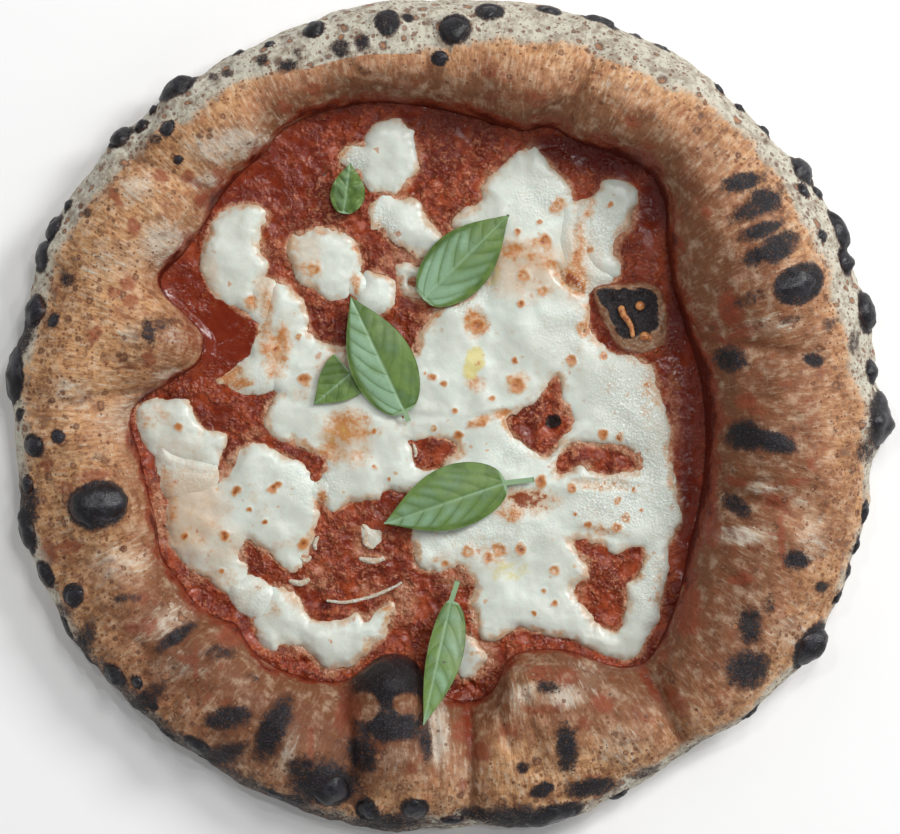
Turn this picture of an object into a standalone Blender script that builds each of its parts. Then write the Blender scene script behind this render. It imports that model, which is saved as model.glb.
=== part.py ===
"""A wood-fired pizza with tomato, mozzarella and basil, built in Blender at its real size.

The pizza lies flat on its base at z = 0, with +Z up and the middle of its plan at the origin.
Lengths in the tables below are millimetres, and every object is made in metres.
"""

import math

import bmesh
import bpy
import numpy as np
from mathutils import Matrix, Vector, noise
from mathutils.geometry import delaunay_2d_cdt

MM = 0.001

# Driving dimensions of the dough, in millimetres.
BASE_THICKNESS = 3.2
WIDEST_HEIGHT = 9.0
TUCK_UNDER = 8.0
CROWN_SHARE = 0.46
TURN_STEPS = 120
SECTION_STEPS = 6
TUCK_STEPS = 3
RELIEF_START = 6.0
RELIEF_END = 8.0

# A plain ring of dough is turned first, and then pushed to the real outline.
PLAIN_WELL = 100.0
PLAIN_EDGE = 152.0
PLAIN_CROWN = 32.0
FLOOR_RINGS = (0.0, 60.0, 97.0)
MERGE_DISTANCE = 0.05

# Blisters: how far one stands off level skin and off upright skin against its half-width, how
# much of that is sunk in the skin, how close to the rim's edge the skin is read, over what reach
# its slope is, and how far the floor's bubble is rooted in the base.
RISE_ON_CROWN = 0.6
RISE_ON_SIDE = 1.1
BLISTER_SUNK = 0.25
EDGE_MARGIN = 1.2
SLOPE_REACH = 1.0
BUBBLE_ROOT = 1.0

# Driving dimensions of the sauce and the cheese, in millimetres.
LAYER_GAP = 0.3
SAUCE_THICKNESS = 1.3
SAUCE_INSET = 2.2
SAUCE_EDGE = 0.5
SAUCE_SLOPE = 4.0
SAUCE_RELIEF = 0.7
SAUCE_GRAIN = 9.0
SAUCE_PITCH = 9.0
BUBBLE_CLEARANCE = 0.8
CHEESE_THICKNESS = 2.0
CHEESE_EDGE = 0.9
CHEESE_LIP = 3.5
CHEESE_RELIEF = 0.5
CHEESE_GRAIN = 11.0
CHEESE_PITCH = 6.5
OUTLINE_PITCH = 4.0
ROW_SPACING = 0.87
JITTER = 0.15
EDGE_CLEARANCE = 0.45

# Driving dimensions of the basil leaves, in millimetres.
LEAF_THICKNESS = 0.5
LEAF_OVER_TOPPINGS = 0.7
LEAF_OVER_DOUGH = 2.0
LEAF_ROWS = 13
LEAF_COLUMNS = 7
LEAF_TIP = 0.5
STEM_ROWS = 3
STEM_HALF_WIDTH = 0.7
BLADE_SKEW = 0.76
BLUNT_BASE = 0.55
POINTED_TIP = 0.5
RIPPLES = 14.0

# The rim's outer edge as (direction in degrees, distance from the middle).
RIM_EDGE = [
    (0, 152), (15, 153), (30, 154), (45, 151), (60, 152), (75, 149), (90, 148.5), (105, 150),
    (120, 150), (135, 153), (150, 157), (165, 155.5), (180, 155), (195, 157), (210, 156),
    (225, 151.5), (240, 150), (255, 150), (270, 146.5), (285, 147.5), (292, 148.5), (305, 145.5),
    (315, 150.5), (330, 153), (345, 152),
]

# The height of the rim's crown as (direction in degrees, height).
RIM_CROWN = [
    (0, 36), (30, 37), (60, 33), (90, 31), (120, 29), (150, 30), (180, 26), (210, 27),
    (240, 28), (270, 29), (285, 33), (305, 29), (330, 33),
]

# The foot of the rim's inner wall, which is the edge of the well that holds the sauce.
WELL_EDGE = [
    (91, 0), (89, 16), (84, 31), (79.5, 46), (77, 62), (77, 76), (72, 87), (62, 92.5), (53, 95.5),
    (45, 98.5), (38, 103), (33, 104), (27, 101.5), (17, 104), (0, 109), (-12, 111), (-25, 112.5),
    (-40, 110.5), (-52, 107), (-61, 102), (-66, 94), (-74, 88), (-83, 77), (-88, 68), (-96, 57),
    (-104, 50), (-102, 42), (-92, 36), (-87, 28), (-89, 19), (-100, 12), (-110, 7), (-115, 0),
    (-111, -12), (-108, -24), (-105, -37), (-103, -50), (-96, -59), (-91, -67), (-83, -72),
    (-76, -73), (-71, -83), (-63, -89), (-52, -93), (-42, -95), (-34, -93), (-28, -86.5),
    (-21, -84), (-13, -86), (-8, -94), (0, -101), (10, -101.5), (17, -96), (19, -88), (24, -84),
    (33, -82.5), (42, -83), (50, -86), (60, -89.5), (70, -88), (77, -76), (82, -62), (85, -46),
    (89, -30), (91, -15),
]

# Swellings of the rim: middle x and y, half-width, and rise.
LOBES = [
    (-80, 102, 20, 3.0), (-107, 67, 24, 3.0), (-103, 26, 17, 4.5), (-132, 22, 22, 2.0),
    (-124, -31, 17, 3.5), (-112, -66, 20, 2.0), (-86, -84, 15, 3.5), (-56, -118, 18, 2.5),
    (-21, -92, 13, 8.0), (-18, -124, 16, 3.0), (37, -100, 26, 4.0), (66, -116, 16, 2.0),
    (93, -94, 20, 2.5), (110, -44, 24, 2.0), (108, -10, 17, 3.5), (112, 58, 30, 3.0),
    (26, 117, 22, 3.0), (58, 112, 16, 2.5), (-30, 122, 18, 2.0),
]

# Folds between the swellings: the two ends, half-width, and depth.
FOLDS = [
    ((66, -86), (88, -124), 6, 5.0), ((6, -100), (9, -140), 6, 5.0), ((-38, -98), (-34, -136), 6, 4.0),
    ((-76, -76), (-100, -104), 5, 2.5), ((88, 28), (126, 22), 6, 3.0), ((92, -24), (126, -36), 6, 2.5),
    ((-84, 80), (-112, 92), 6, 3.0), ((-106, 10), (-148, 4), 6, 2.5), ((40, 102), (52, 130), 6, 2.5),
    ((-4, 108), (-8, 134), 7, 2.5), ((-104, -44), (-146, -62), 6, 2.0),
]

# Blisters that stand off the rim's skin: middle x and y, half-length along the rim, half-width.
BLISTERS = [
    (127.5, 89, 6.0, 6.0), (140, 67, 8.0, 5.0), (140, 55, 5.0, 4.5), (151, 38, 7.5, 6.0),
    (149, 16, 4.5, 4.0), (151, -1, 10.0, 9.8), (123, 46.5, 8.0, 7.0), (127.5, -81, 9.0, 8.5),
    (35, -140, 12.0, 6.5), (53.5, 141, 7.0, 4.5), (35, 143.5, 4.5, 3.5), (14, 142.5, 5.0, 4.5),
    (1.8, 136.5, 5.5, 5.5), (-22, 138.5, 4.5, 5.5), (-48, 137, 4.0, 4.2), (-97.5, 117.5, 7.5, 7.0),
    (-119.5, 101, 5.5, 5.0), (-143, 68, 5.5, 4.5), (-146, 58.5, 6.5, 5.0), (-147.5, 37.5, 6.0, 4.8),
    (-154.5, 15, 11.0, 6.6), (-147, -10, 4.2, 4.2), (-124, -31, 8.0, 10.5), (-150, -40, 9.0, 5.0),
    (-143.5, -55.5, 5.0, 4.0), (-133, -63, 4.2, 4.2), (-119, -91.5, 5.0, 4.2), (-89.5, -115.5, 5.5, 4.0),
    (-12.5, -138, 5.0, 4.8), (-29, -139, 4.5, 4.5), (-42, -131, 8.0, 7.0),
]

# The bubble that rises through the cheese: middle x and y, half-widths, and height over the base.
FLOOR_BUBBLE = (64.5, 35.5, 13.5, 12.0, 7.5)

# Outlines of the melted mozzarella, one for each piece, with the windows that show the sauce.
CHEESE = {
    "mozzarella_top": [
        (-31, 98), (-30, 101), (-27, 105), (-22, 106.5), (-17, 105.5), (-14, 102), (-13, 96),
        (-12.5, 89), (-15, 84), (-19, 81), (-24, 80), (-28, 81), (-30, 84), (-34, 88), (-38.5, 90),
        (-39.5, 94), (-36, 97.5),
    ],
    "mozzarella_left": [
        (-73, 76.5), (-68, 75.5), (-65, 73), (-65.5, 70), (-68.5, 67), (-68, 61), (-66.5, 55),
        (-67.5, 49), (-69, 43), (-70, 36.5), (-75, 38.5), (-81, 42), (-87, 45.5), (-88.5, 51),
        (-88, 58), (-87.5, 65), (-86, 70), (-81, 74),
    ],
    "mozzarella_round": [
        (-56, 66), (-50, 67.5), (-44, 68), (-38, 66), (-33.5, 62), (-31.5, 56), (-33, 50.5),
        (-36, 45), (-40, 42.5), (-45, 43), (-50, 47), (-54, 51), (-57, 57), (-58, 62),
    ],
    "mozzarella_upper_middle": [
        (-29, 76), (-22, 78.5), (-15, 78), (-11, 75.5), (-9, 71), (-6, 67), (-2, 63), (-3, 59),
        (-8, 57.5), (-12, 57.5), (-16, 60), (-21, 63), (-25, 67), (-29, 70),
    ],
    "mozzarella_small": [
        (-30.5, 50), (-27, 52), (-23, 50.5), (-20.5, 46), (-20.5, 41), (-23, 37), (-28, 36),
        (-32.5, 39), (-33.5, 43.5),
    ],
    "mozzarella_curl": [
        (-18.5, 52), (-15, 54.5), (-10, 54.5), (-6, 51), (-5, 46), (-8, 42.5), (-12, 42),
        (-16.5, 44), (-18.5, 48),
    ],
    "mozzarella_right": [
        (55, 84), (60, 84.5), (65, 83), (67, 79), (66, 74), (64, 69), (60, 63), (58, 59),
        (60.5, 55), (60, 50.5), (57, 49.5), (52, 50.5), (48.5, 52.5), (46, 57), (47, 62), (46.5, 68),
        (48, 74), (52, 78),
    ],
    "mozzarella_centre": [
        (29.5, 97.5), (33, 94.5), (36, 91), (39, 87), (42.5, 83), (43.5, 77), (43, 71), (41.5, 66),
        (43.5, 61), (43.5, 55), (45.5, 50), (48.5, 44), (49.5, 38), (50.5, 31), (54, 25.5), (60, 22.5),
        (67, 21), (72, 18.5), (74, 13), (75.5, 6), (78, -2), (78.5, -10), (79.5, -20), (81.5, -28),
        (82, -37), (78, -46), (77, -56), (75.5, -64), (73, -74), (70, -80), (68, -84.5), (63, -87),
        (56, -84.5), (50, -82.5), (45, -80), (39, -79), (32, -77.5), (25, -75), (20, -77), (15, -80),
        (11, -77), (8, -70), (7, -65), (10, -61), (8, -57), (2, -53), (-5, -55), (-12, -53),
        (-13, -46), (-12, -38), (-12, -30), (-20, -25), (-27, -28.5), (-34, -30.5), (-40, -33),
        (-44.5, -33), (-46, -27), (-46, -20), (-44, -16), (-50, -11), (-57, -8.5), (-63, -6),
        (-66, -1), (-65, 4), (-61, 9), (-66, 11), (-72, 10.5), (-78, 13), (-76, 18), (-71, 22),
        (-69, 28), (-67.5, 34), (-65.5, 42), (-63.5, 48), (-59.5, 48), (-55.5, 43.5), (-52, 38),
        (-50.5, 31), (-47, 26.5), (-40, 25), (-30, 24), (-22, 24), (-14, 24), (-10, 31), (-6, 37),
        (1, 41), (9, 45), (15, 52), (14, 59), (6, 64), (1, 68.5), (4, 73.5), (10, 75), (13, 78),
        (12, 82), (15, 86), (20, 89), (25, 94),
    ],
    "mozzarella_west": [
        (-112, 4), (-106, 6), (-98, 6), (-93, 4), (-91, 0), (-89, -4), (-85, -6), (-80.5, -7),
        (-82, -12), (-84, -17), (-89, -19), (-95, -16), (-103, -14.5), (-107.5, -11), (-110.5, -6),
        (-112.5, -1),
    ],
    "mozzarella_southwest": [
        (-100, -23.5), (-95, -20.5), (-88, -22), (-84, -24), (-80, -18), (-76, -12), (-70, -9.5),
        (-64, -12), (-57, -15), (-51.5, -20), (-48, -25), (-47.5, -32), (-49, -40), (-50, -46),
        (-53, -52), (-58, -55), (-63, -51), (-68, -47), (-72, -44), (-75, -48), (-74, -54),
        (-72, -59.5), (-76, -63), (-81, -62), (-86, -58), (-92, -55), (-96, -50), (-100, -45),
        (-101.5, -38), (-101, -30),
    ],
    "mozzarella_south": [
        (-67, -62.5), (-63, -61), (-58, -62), (-54, -68), (-50, -73), (-44, -74), (-38, -73),
        (-34, -70), (-30, -72), (-26, -70), (-22, -67), (-20, -70), (-22, -76), (-24, -79.5),
        (-29, -82), (-34, -87), (-39, -89), (-43, -91), (-47, -88), (-50, -84), (-55, -82),
        (-60, -81), (-64, -83.5), (-67.5, -81), (-69, -75), (-71.5, -69), (-70, -65),
    ],
    "mozzarella_by_leaf": [
        (4, -77), (8, -79), (11, -83), (12.5, -87), (10, -91), (5, -93), (2, -91), (1, -85),
    ],
}

WINDOWS = {
    "mozzarella_curl": [[(-15.5, 50), (-12, 50.3), (-10.5, 48), (-12, 45.8), (-15.5, 46.5)]],
    "mozzarella_centre": [
        [(22, 1.5), (27, 4), (31, 7), (34, 12), (38, 15), (41, 12), (41, 6), (44, 0), (44, -4),
         (40, -8), (37, -11.5), (33, -14), (29, -12), (24.5, -9), (21, -4)],
        [(38.5, -14), (42, -10), (48, -9), (55, -9.5), (61, -10), (66, -13), (69, -18), (64, -20.5),
         (58, -22), (52, -21), (48, -17), (44, -19), (40, -21), (37, -18)],
        [(-15, -8), (-9, -7.5), (-2, -8), (3, -9), (2, -13), (-1, -15), (-3, -18), (-8, -19),
         (-12.5, -18), (-14, -13)],
        [(44, -43), (48, -42), (51, -45), (56, -46), (59, -48), (64, -45.5), (69, -46), (69.5, -52),
         (67, -57), (63, -62), (63, -69), (62, -75), (58, -77), (52, -75), (49, -70), (44.5, -66),
         (44, -60), (49, -57), (49, -52), (44, -48)],
    ],
}

# Basil leaves: the two ends of the midrib, the greatest half-widths on its left and right, how far
# it arches over the toppings from base to tip, how far the edges bend down from it, how much they
# ripple, the share of the blade that another leaf hides, and the stem's far end where one shows.
LEAVES = {
    "basil_leaf_small": {
        "base": (-38, 72.7), "tip": (-35.5, 90.5), "widths": (5.5, 6.6),
        "arch": (0.4, 2.0, 3.2, 3.0, 2.0), "bend": 1.2, "ripple": 0.8, "hidden": 0.0, "stem": None,
    },
    "basil_leaf_upper": {
        "base": (-9.5, 42), "tip": (21, 72.2), "widths": (11.2, 11.3),
        "arch": (0.4, 2.2, 3.6, 3.2, 1.0), "bend": 2.4, "ripple": 0.5, "hidden": 0.0, "stem": None,
    },
    "basil_leaf_middle": {
        "base": (-16, 1.5), "tip": (-35.5, 43), "widths": (11.4, 11.5),
        "arch": (0.4, 3.0, 4.4, 3.6, 1.0), "bend": 2.0, "ripple": 0.5, "hidden": 0.0,
        "stem": (-14.8, -1.5),
    },
    "basil_leaf_lower_left": {
        "base": (-35.3, 15.6), "tip": (-48.6, 4.5), "widths": (7.6, 9.2),
        "arch": (0.0, 0.2, 0.5, 0.5, 0.1), "bend": 0.1, "ripple": 0.0, "hidden": 0.36, "stem": None,
    },
    "basil_leaf_right": {
        "base": (20, -23.5), "tip": (-23.5, -38), "widths": (10.2, 12.5),
        "arch": (0.6, 2.6, 3.8, 3.2, 1.0), "bend": 2.2, "ripple": 0.5, "hidden": 0.0,
        "stem": (30, -22.3),
    },
    "basil_leaf_bottom": {
        "base": (0.5, -65.5), "tip": (-9.3, -108.5), "widths": (8.3, 4.3),
        "arch": (0.6, 3.5, 8.0, 16.0, 24.0), "bend": 1.6, "ripple": 0.3, "hidden": 0.0,
        "stem": (2.8, -58.5),
    },
}

COLOURS = {
    "crust": ((0.56, 0.33, 0.17), 0.75),
    "tomato_sauce": ((0.36, 0.05, 0.02), 0.35),
    "mozzarella": ((0.84, 0.82, 0.73), 0.35),
    "basil": ((0.11, 0.27, 0.06), 0.45),
}


def clear_scene():
    """Removes the objects that Blender starts with."""
    for obj in list(bpy.data.objects):
        bpy.data.objects.remove(obj, do_unlink=True)


def new_collection(name):
    """A collection linked to the scene."""
    collection = bpy.data.collections.new(name)
    bpy.context.scene.collection.children.link(collection)
    return collection


def material(name):
    """A plain Principled BSDF material with the colour and roughness in COLOURS."""
    made = bpy.data.materials.get(name)
    if made is None:
        colour, roughness = COLOURS[name]
        made = bpy.data.materials.new(name)
        made.use_nodes = True
        shader = made.node_tree.nodes["Principled BSDF"]
        shader.inputs["Base Color"].default_value = (*colour, 1.0)
        shader.inputs["Roughness"].default_value = roughness
        shader.inputs["Metallic"].default_value = 0.0
    return made


def add_object(name, mesh, collection, material_name):
    """An object with that mesh and material, in that collection."""
    obj = bpy.data.objects.new(name, mesh)
    collection.objects.link(obj)
    obj.data.materials.clear()
    obj.data.materials.append(material(material_name))
    return obj


def smooth_step(share):
    """0 below 0, 1 above 1, and an even curve between."""
    share = np.clip(share, 0.0, 1.0)
    return share * share * (3.0 - 2.0 * share)


def curve_between(before, start, end, after, share):
    """A smooth step from start to end that leaves and arrives in line with the values beside them."""
    return 0.5 * (
        2 * start + (end - before) * share + (2 * before - 5 * start + 4 * end - after) * share**2
        + (3 * start - before - 3 * end + after) * share**3
    )


def curve_through(values, share):
    """A smooth curve through evenly spaced values, read at shares of its length from 0 to 1."""
    held = np.array([2 * values[0] - values[1], *values, 2 * values[-1] - values[-2]], float)
    place = share * (len(values) - 1)
    step = np.minimum(place.astype(int), len(values) - 2)
    return curve_between(*(held[step + k] for k in range(4)), place - step)


def around(pairs, angle):
    """The value at an angle in degrees, on straight lines between (direction, value) pairs."""
    directions, values = zip(*pairs)
    return np.interp(np.mod(angle, 360.0), directions, values, period=360.0)


def well_radius(angle):
    """The distance from the middle to the well's edge, in that direction."""
    pairs = sorted((math.degrees(math.atan2(y, x)) % 360.0, math.hypot(x, y)) for x, y in WELL_EDGE)
    return around(pairs, angle)


def along_line(x, y, start, end):
    """How far along the line from start to end each place lies, and its distance from the line."""
    (ax, ay), (bx, by) = start, end
    length = max((bx - ax) ** 2 + (by - ay) ** 2, 1e-9)
    share = np.clip(((x - ax) * (bx - ax) + (y - ay) * (by - ay)) / length, 0.0, 1.0)
    return share, np.hypot(x - ax - share * (bx - ax), y - ay - share * (by - ay))


def crust_relief(x, y):
    """How far the lobes lift the rim's skin and the folds press it in, at a place in plan."""
    lift = np.zeros_like(x)
    for middle_x, middle_y, half_width, rise in LOBES:
        distance = np.hypot(x - middle_x, y - middle_y) / half_width
        lift += rise * np.clip(1.0 - distance**2, 0.0, None) ** 2
    for start, end, half_width, depth in FOLDS:
        _, distance = along_line(x, y, start, end)
        lift -= depth * np.exp(-((distance / half_width) ** 2))
    return lift


def relief_window(radius, well, edge):
    """How much of the relief shows: none at the foot of the inner wall and at the rim's edge."""
    return smooth_step((radius - well) / RELIEF_START) * smooth_step((edge - radius) / RELIEF_END)


def crust_height(x, y):
    """The height of the rim's upper skin over a place in plan, with its lobes and folds."""
    angle = np.degrees(np.arctan2(y, x))
    well, edge, crown_height = well_radius(angle), around(RIM_EDGE, angle), around(RIM_CROWN, angle)
    crown = well + (edge - well) * CROWN_SHARE
    radius = np.hypot(x, y)
    inner = np.clip(1.0 - (radius - well) / (crown - well), 0.0, 1.0)
    outer = np.clip((radius - crown) / (edge - crown), 0.0, 1.0)
    rising = BASE_THICKNESS + (crown_height - BASE_THICKNESS) * np.sqrt(1.0 - inner**2)
    falling = WIDEST_HEIGHT + (crown_height - WIDEST_HEIGHT) * np.sqrt(1.0 - outer**2)
    height = np.where(radius < crown, rising, falling)
    relief = relief_window(radius, well, edge) * crust_relief(x, y)
    return np.where(radius < well, BASE_THICKNESS, height + relief)


def plain_section():
    """The turned outline of a plain ring of dough, from the middle over the rim to the base."""
    crown = PLAIN_WELL + (PLAIN_EDGE - PLAIN_WELL) * CROWN_SHARE
    points = [(radius, BASE_THICKNESS) for radius in FLOOR_RINGS]
    for step in range(SECTION_STEPS):
        turn = math.radians(90.0 * step / SECTION_STEPS)
        points.append((
            PLAIN_WELL + (crown - PLAIN_WELL) * (1.0 - math.cos(turn)),
            BASE_THICKNESS + (PLAIN_CROWN - BASE_THICKNESS) * math.sin(turn),
        ))
    for step in range(SECTION_STEPS + 1):
        turn = math.radians(90.0 * (1.0 - step / SECTION_STEPS))
        points.append((
            crown + (PLAIN_EDGE - crown) * math.cos(turn),
            WIDEST_HEIGHT + (PLAIN_CROWN - WIDEST_HEIGHT) * math.sin(turn),
        ))
    for step in range(1, TUCK_STEPS + 1):
        turn = math.radians(90.0 * step / TUCK_STEPS)
        points.append((
            PLAIN_EDGE - TUCK_UNDER * (1.0 - math.cos(turn)),
            WIDEST_HEIGHT * (1.0 - math.sin(turn)),
        ))
    points.append((0.0, 0.0))
    return points


def turned_dough():
    """The plain ring as a closed mesh, turned about the Z axis by a Screw modifier."""
    points = plain_section()
    mesh = bpy.data.meshes.new("plain_dough")
    mesh.from_pydata(
        [(x * MM, 0.0, z * MM) for x, z in points], [(i, i + 1) for i in range(len(points) - 1)], []
    )
    obj = bpy.data.objects.new("plain_dough", mesh)
    bpy.context.scene.collection.objects.link(obj)
    screw = obj.modifiers.new("Turn", "SCREW")
    screw.steps = screw.render_steps = TURN_STEPS
    screw.use_merge_vertices = True
    screw.merge_threshold = MERGE_DISTANCE * MM
    graph = bpy.context.evaluated_depsgraph_get()
    turned = bpy.data.meshes.new_from_object(obj.evaluated_get(graph))
    bpy.data.objects.remove(obj, do_unlink=True)
    return turned


def push_to_outline(mesh):
    """Moves the plain ring's points to the real well, edge and crown, and adds lobes and folds."""
    flat = np.empty(len(mesh.vertices) * 3)
    mesh.vertices.foreach_get("co", flat)
    points = flat.reshape(-1, 3) / MM
    radius = np.hypot(points[:, 0], points[:, 1])
    angle = np.degrees(np.arctan2(points[:, 1], points[:, 0]))
    height = points[:, 2]
    well, edge, crown_height = well_radius(angle), around(RIM_EDGE, angle), around(RIM_CROWN, angle)
    share = (radius - PLAIN_WELL) / (PLAIN_EDGE - PLAIN_WELL)
    moved = np.where(share < 0.0, radius * well / PLAIN_WELL, well + share * (edge - well))
    low = np.where(share < CROWN_SHARE, BASE_THICKNESS, WIDEST_HEIGHT)
    raised = low + (height - low) * (crown_height - low) / (PLAIN_CROWN - low)
    upper = (share > 0.0) & (height > low + 1e-6)
    new_height = np.where(upper, raised, height)
    x, y = moved * np.cos(np.radians(angle)), moved * np.sin(np.radians(angle))
    new_height += np.where(upper, relief_window(moved, well, edge) * crust_relief(x, y), 0.0)
    mesh.vertices.foreach_set("co", (np.stack([x, y, new_height], axis=1) * MM).ravel())
    mesh.update()


def skin_frame(x, y):
    """The skin's place over (x, y), and its directions along the rim, up the slope and outwards.

    Past the rim's edge the place is brought back to just inside it, where the skin turns down.
    """
    angle = math.atan2(y, x)
    radius = min(math.hypot(x, y), float(around(RIM_EDGE, math.degrees(angle))) - EDGE_MARGIN)
    place_x, place_y = radius * math.cos(angle), radius * math.sin(angle)
    shifts = np.array([(0, 0), (1, 0), (-1, 0), (0, 1), (0, -1)], float) * SLOPE_REACH
    heights = crust_height(place_x + shifts[:, 0], place_y + shifts[:, 1])
    rise = Vector((heights[1] - heights[2], heights[3] - heights[4])) / (2 * SLOPE_REACH)
    outward = Vector((-rise.x, -rise.y, 1.0)).normalized()
    along = Vector((-math.sin(angle), math.cos(angle), 0.0))
    along = (along - outward * along.dot(outward)).normalized()
    return Vector((place_x, place_y, heights[0])), along, outward.cross(along), outward


def add_blister(name, middle, directions, half_sizes, collection, flat_below=None):
    """One egg-shaped blister of dough, to be joined to the crust."""
    mesh = bpy.data.meshes.new(name)
    shape = bmesh.new()
    bmesh.ops.create_icosphere(shape, subdivisions=2, radius=1.0)
    if flat_below is not None:
        for vert in shape.verts:
            vert.co.z = max(vert.co.z, flat_below)
    shape.to_mesh(mesh)
    shape.free()
    obj = bpy.data.objects.new(name, mesh)
    columns = [direction * size * MM for direction, size in zip(directions, half_sizes)]
    obj.matrix_world = Matrix.Translation(middle * MM) @ Matrix(columns).transposed().to_4x4()
    obj.hide_render = True
    obj.display_type = "WIRE"
    collection.objects.link(obj)


def make_crust(parts, helpers):
    """The dough: base, puffed rim and blisters, joined as one solid."""
    mesh = turned_dough()
    push_to_outline(mesh)
    mesh.name = "crust"
    crust = add_object("crust", mesh, parts, "crust")
    for number, (x, y, half_length, half_width) in enumerate(BLISTERS):
        place, along, up_slope, outward = skin_frame(x, y)
        rise = half_width * (RISE_ON_SIDE + (RISE_ON_CROWN - RISE_ON_SIDE) * max(outward.z, 0.0))
        middle = place - outward * rise * BLISTER_SUNK
        sizes = (half_length, half_width, rise)
        add_blister(f"blister_{number}", middle, (along, up_slope, outward), sizes, helpers)
    x, y, half_x, half_y, height = FLOOR_BUBBLE
    axes = (Vector((1, 0, 0)), Vector((0, 1, 0)), Vector((0, 0, 1)))
    middle = Vector((x, y, BASE_THICKNESS))
    sizes = (half_x, half_y, height)
    add_blister("floor_bubble", middle, axes, sizes, helpers, flat_below=-BUBBLE_ROOT / height)
    bpy.context.view_layer.update()
    union = crust.modifiers.new("Join blisters", "BOOLEAN")
    union.operation = "UNION"
    union.solver = "EXACT"
    union.operand_type = "COLLECTION"
    union.collection = helpers
    graph = bpy.context.evaluated_depsgraph_get()
    joined = bpy.data.meshes.new_from_object(crust.evaluated_get(graph))
    crust.modifiers.clear()
    crust.data = joined
    crust.data.materials.clear()
    crust.data.materials.append(material("crust"))
    for obj in list(helpers.objects):
        bpy.data.objects.remove(obj, do_unlink=True)


def smooth_outline(points):
    """Evenly spaced points on a smooth closed curve through the given ones."""
    points = np.array(points, float)
    rolled = [np.roll(points, shift, axis=0) for shift in (1, 0, -1, -2)]
    made = []
    for before, start, end, after in zip(*rolled):
        steps = max(1, round(np.linalg.norm(end - start) / OUTLINE_PITCH))
        made += [curve_between(before, start, end, after, step / steps) for step in range(steps)]
    return np.array(made)


def edge_distance(loops, x, y):
    """The distance from each place to the nearest of the closed loops."""
    nearest = np.full(x.shape, np.inf)
    for loop in loops:
        for start, end in zip(loop, np.roll(loop, -1, axis=0)):
            nearest = np.minimum(nearest, along_line(x, y, start, end)[1])
    return nearest


def encloses(loop, x, y):
    """Whether the closed loop holds that place."""
    inside = False
    for (ax, ay), (bx, by) in zip(loop, np.roll(loop, -1, axis=0)):
        if (ay > y) != (by > y) and x < (bx - ax) * (y - ay) / (by - ay) + ax:
            inside = not inside
    return inside


def bumps(x, y, size, seed):
    """Even noise from -1 to 1 with features of about that size."""
    return np.array([noise.noise(Vector((a / size, b / size, seed))) for a, b in zip(x, y)])


def layer_plan(loops, pitch):
    """Points and triangles that fill the first loop, apart from the windows that follow it.

    The points inside stand in offset rows, a little out of line, clear of every loop.
    """
    low, high = loops[0].min(axis=0), loops[0].max(axis=0)
    columns, rows = np.meshgrid(
        np.arange(low[0], high[0], pitch), np.arange(low[1], high[1], pitch * ROW_SPACING)
    )
    columns = columns + pitch / 2 * (np.arange(len(rows)) % 2)[:, None]
    inside = np.stack([columns.ravel(), rows.ravel()], axis=1)
    inside += np.random.default_rng(len(inside)).uniform(-JITTER, JITTER, inside.shape) * pitch
    inside = inside[edge_distance(loops, inside[:, 0], inside[:, 1]) > pitch * EDGE_CLEARANCE]
    edges = []
    for loop in loops:
        start = len(edges)
        edges += [(start + i, start + (i + 1) % len(loop)) for i in range(len(loop))]
    places = [Vector(place) for place in np.concatenate([*loops, inside])]
    flat, _, faces, _, _, _ = delaunay_2d_cdt(places, edges, [], 1, 1e-4)
    plan = np.array([tuple(place) for place in flat])
    kept = []
    for face in faces:
        x, y = plan[list(face)].mean(axis=0)
        if encloses(loops[0], x, y) and not any(encloses(window, x, y) for window in loops[1:]):
            kept.append(face)
    return plan, kept


def layer_mesh(name, loops, pitch, bottom, top_at):
    """A closed slab over that plan, with a flat bottom and a top of height top_at(x, y, depth).

    Depth is the distance from a place to the nearest edge.
    """
    plan, faces = layer_plan(loops, pitch)
    x, y = plan[:, 0], plan[:, 1]
    top = top_at(x, y, edge_distance(loops, x, y))
    shape = bmesh.new()
    points = [shape.verts.new(Vector(place) * MM) for place in zip(x, y, top)]
    sheet = [shape.faces.new([points[i] for i in face]) for face in faces]
    bmesh.ops.delete(shape, geom=[v for v in shape.verts if not v.link_faces], context="VERTS")
    walls = bmesh.ops.extrude_face_region(shape, geom=sheet)["geom"]
    for vert in walls:
        if isinstance(vert, bmesh.types.BMVert):
            vert.co.z = bottom * MM
    bmesh.ops.recalc_face_normals(shape, faces=shape.faces)
    level = [v for v in shape.verts if all(f.normal.z < -0.99 for f in v.link_faces)]
    bmesh.ops.dissolve_verts(shape, verts=level)
    bmesh.ops.triangulate(shape, faces=shape.faces)
    mesh = bpy.data.meshes.new(name)
    shape.to_mesh(mesh)
    shape.free()
    return mesh


def ring_of_points(turns, radius, middle=(0.0, 0.0)):
    """Points round a middle, at those directions in degrees and distances."""
    turns = np.radians(turns)
    return np.stack([middle[0] + radius * np.cos(turns), middle[1] + radius * np.sin(turns)], axis=1)


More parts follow.
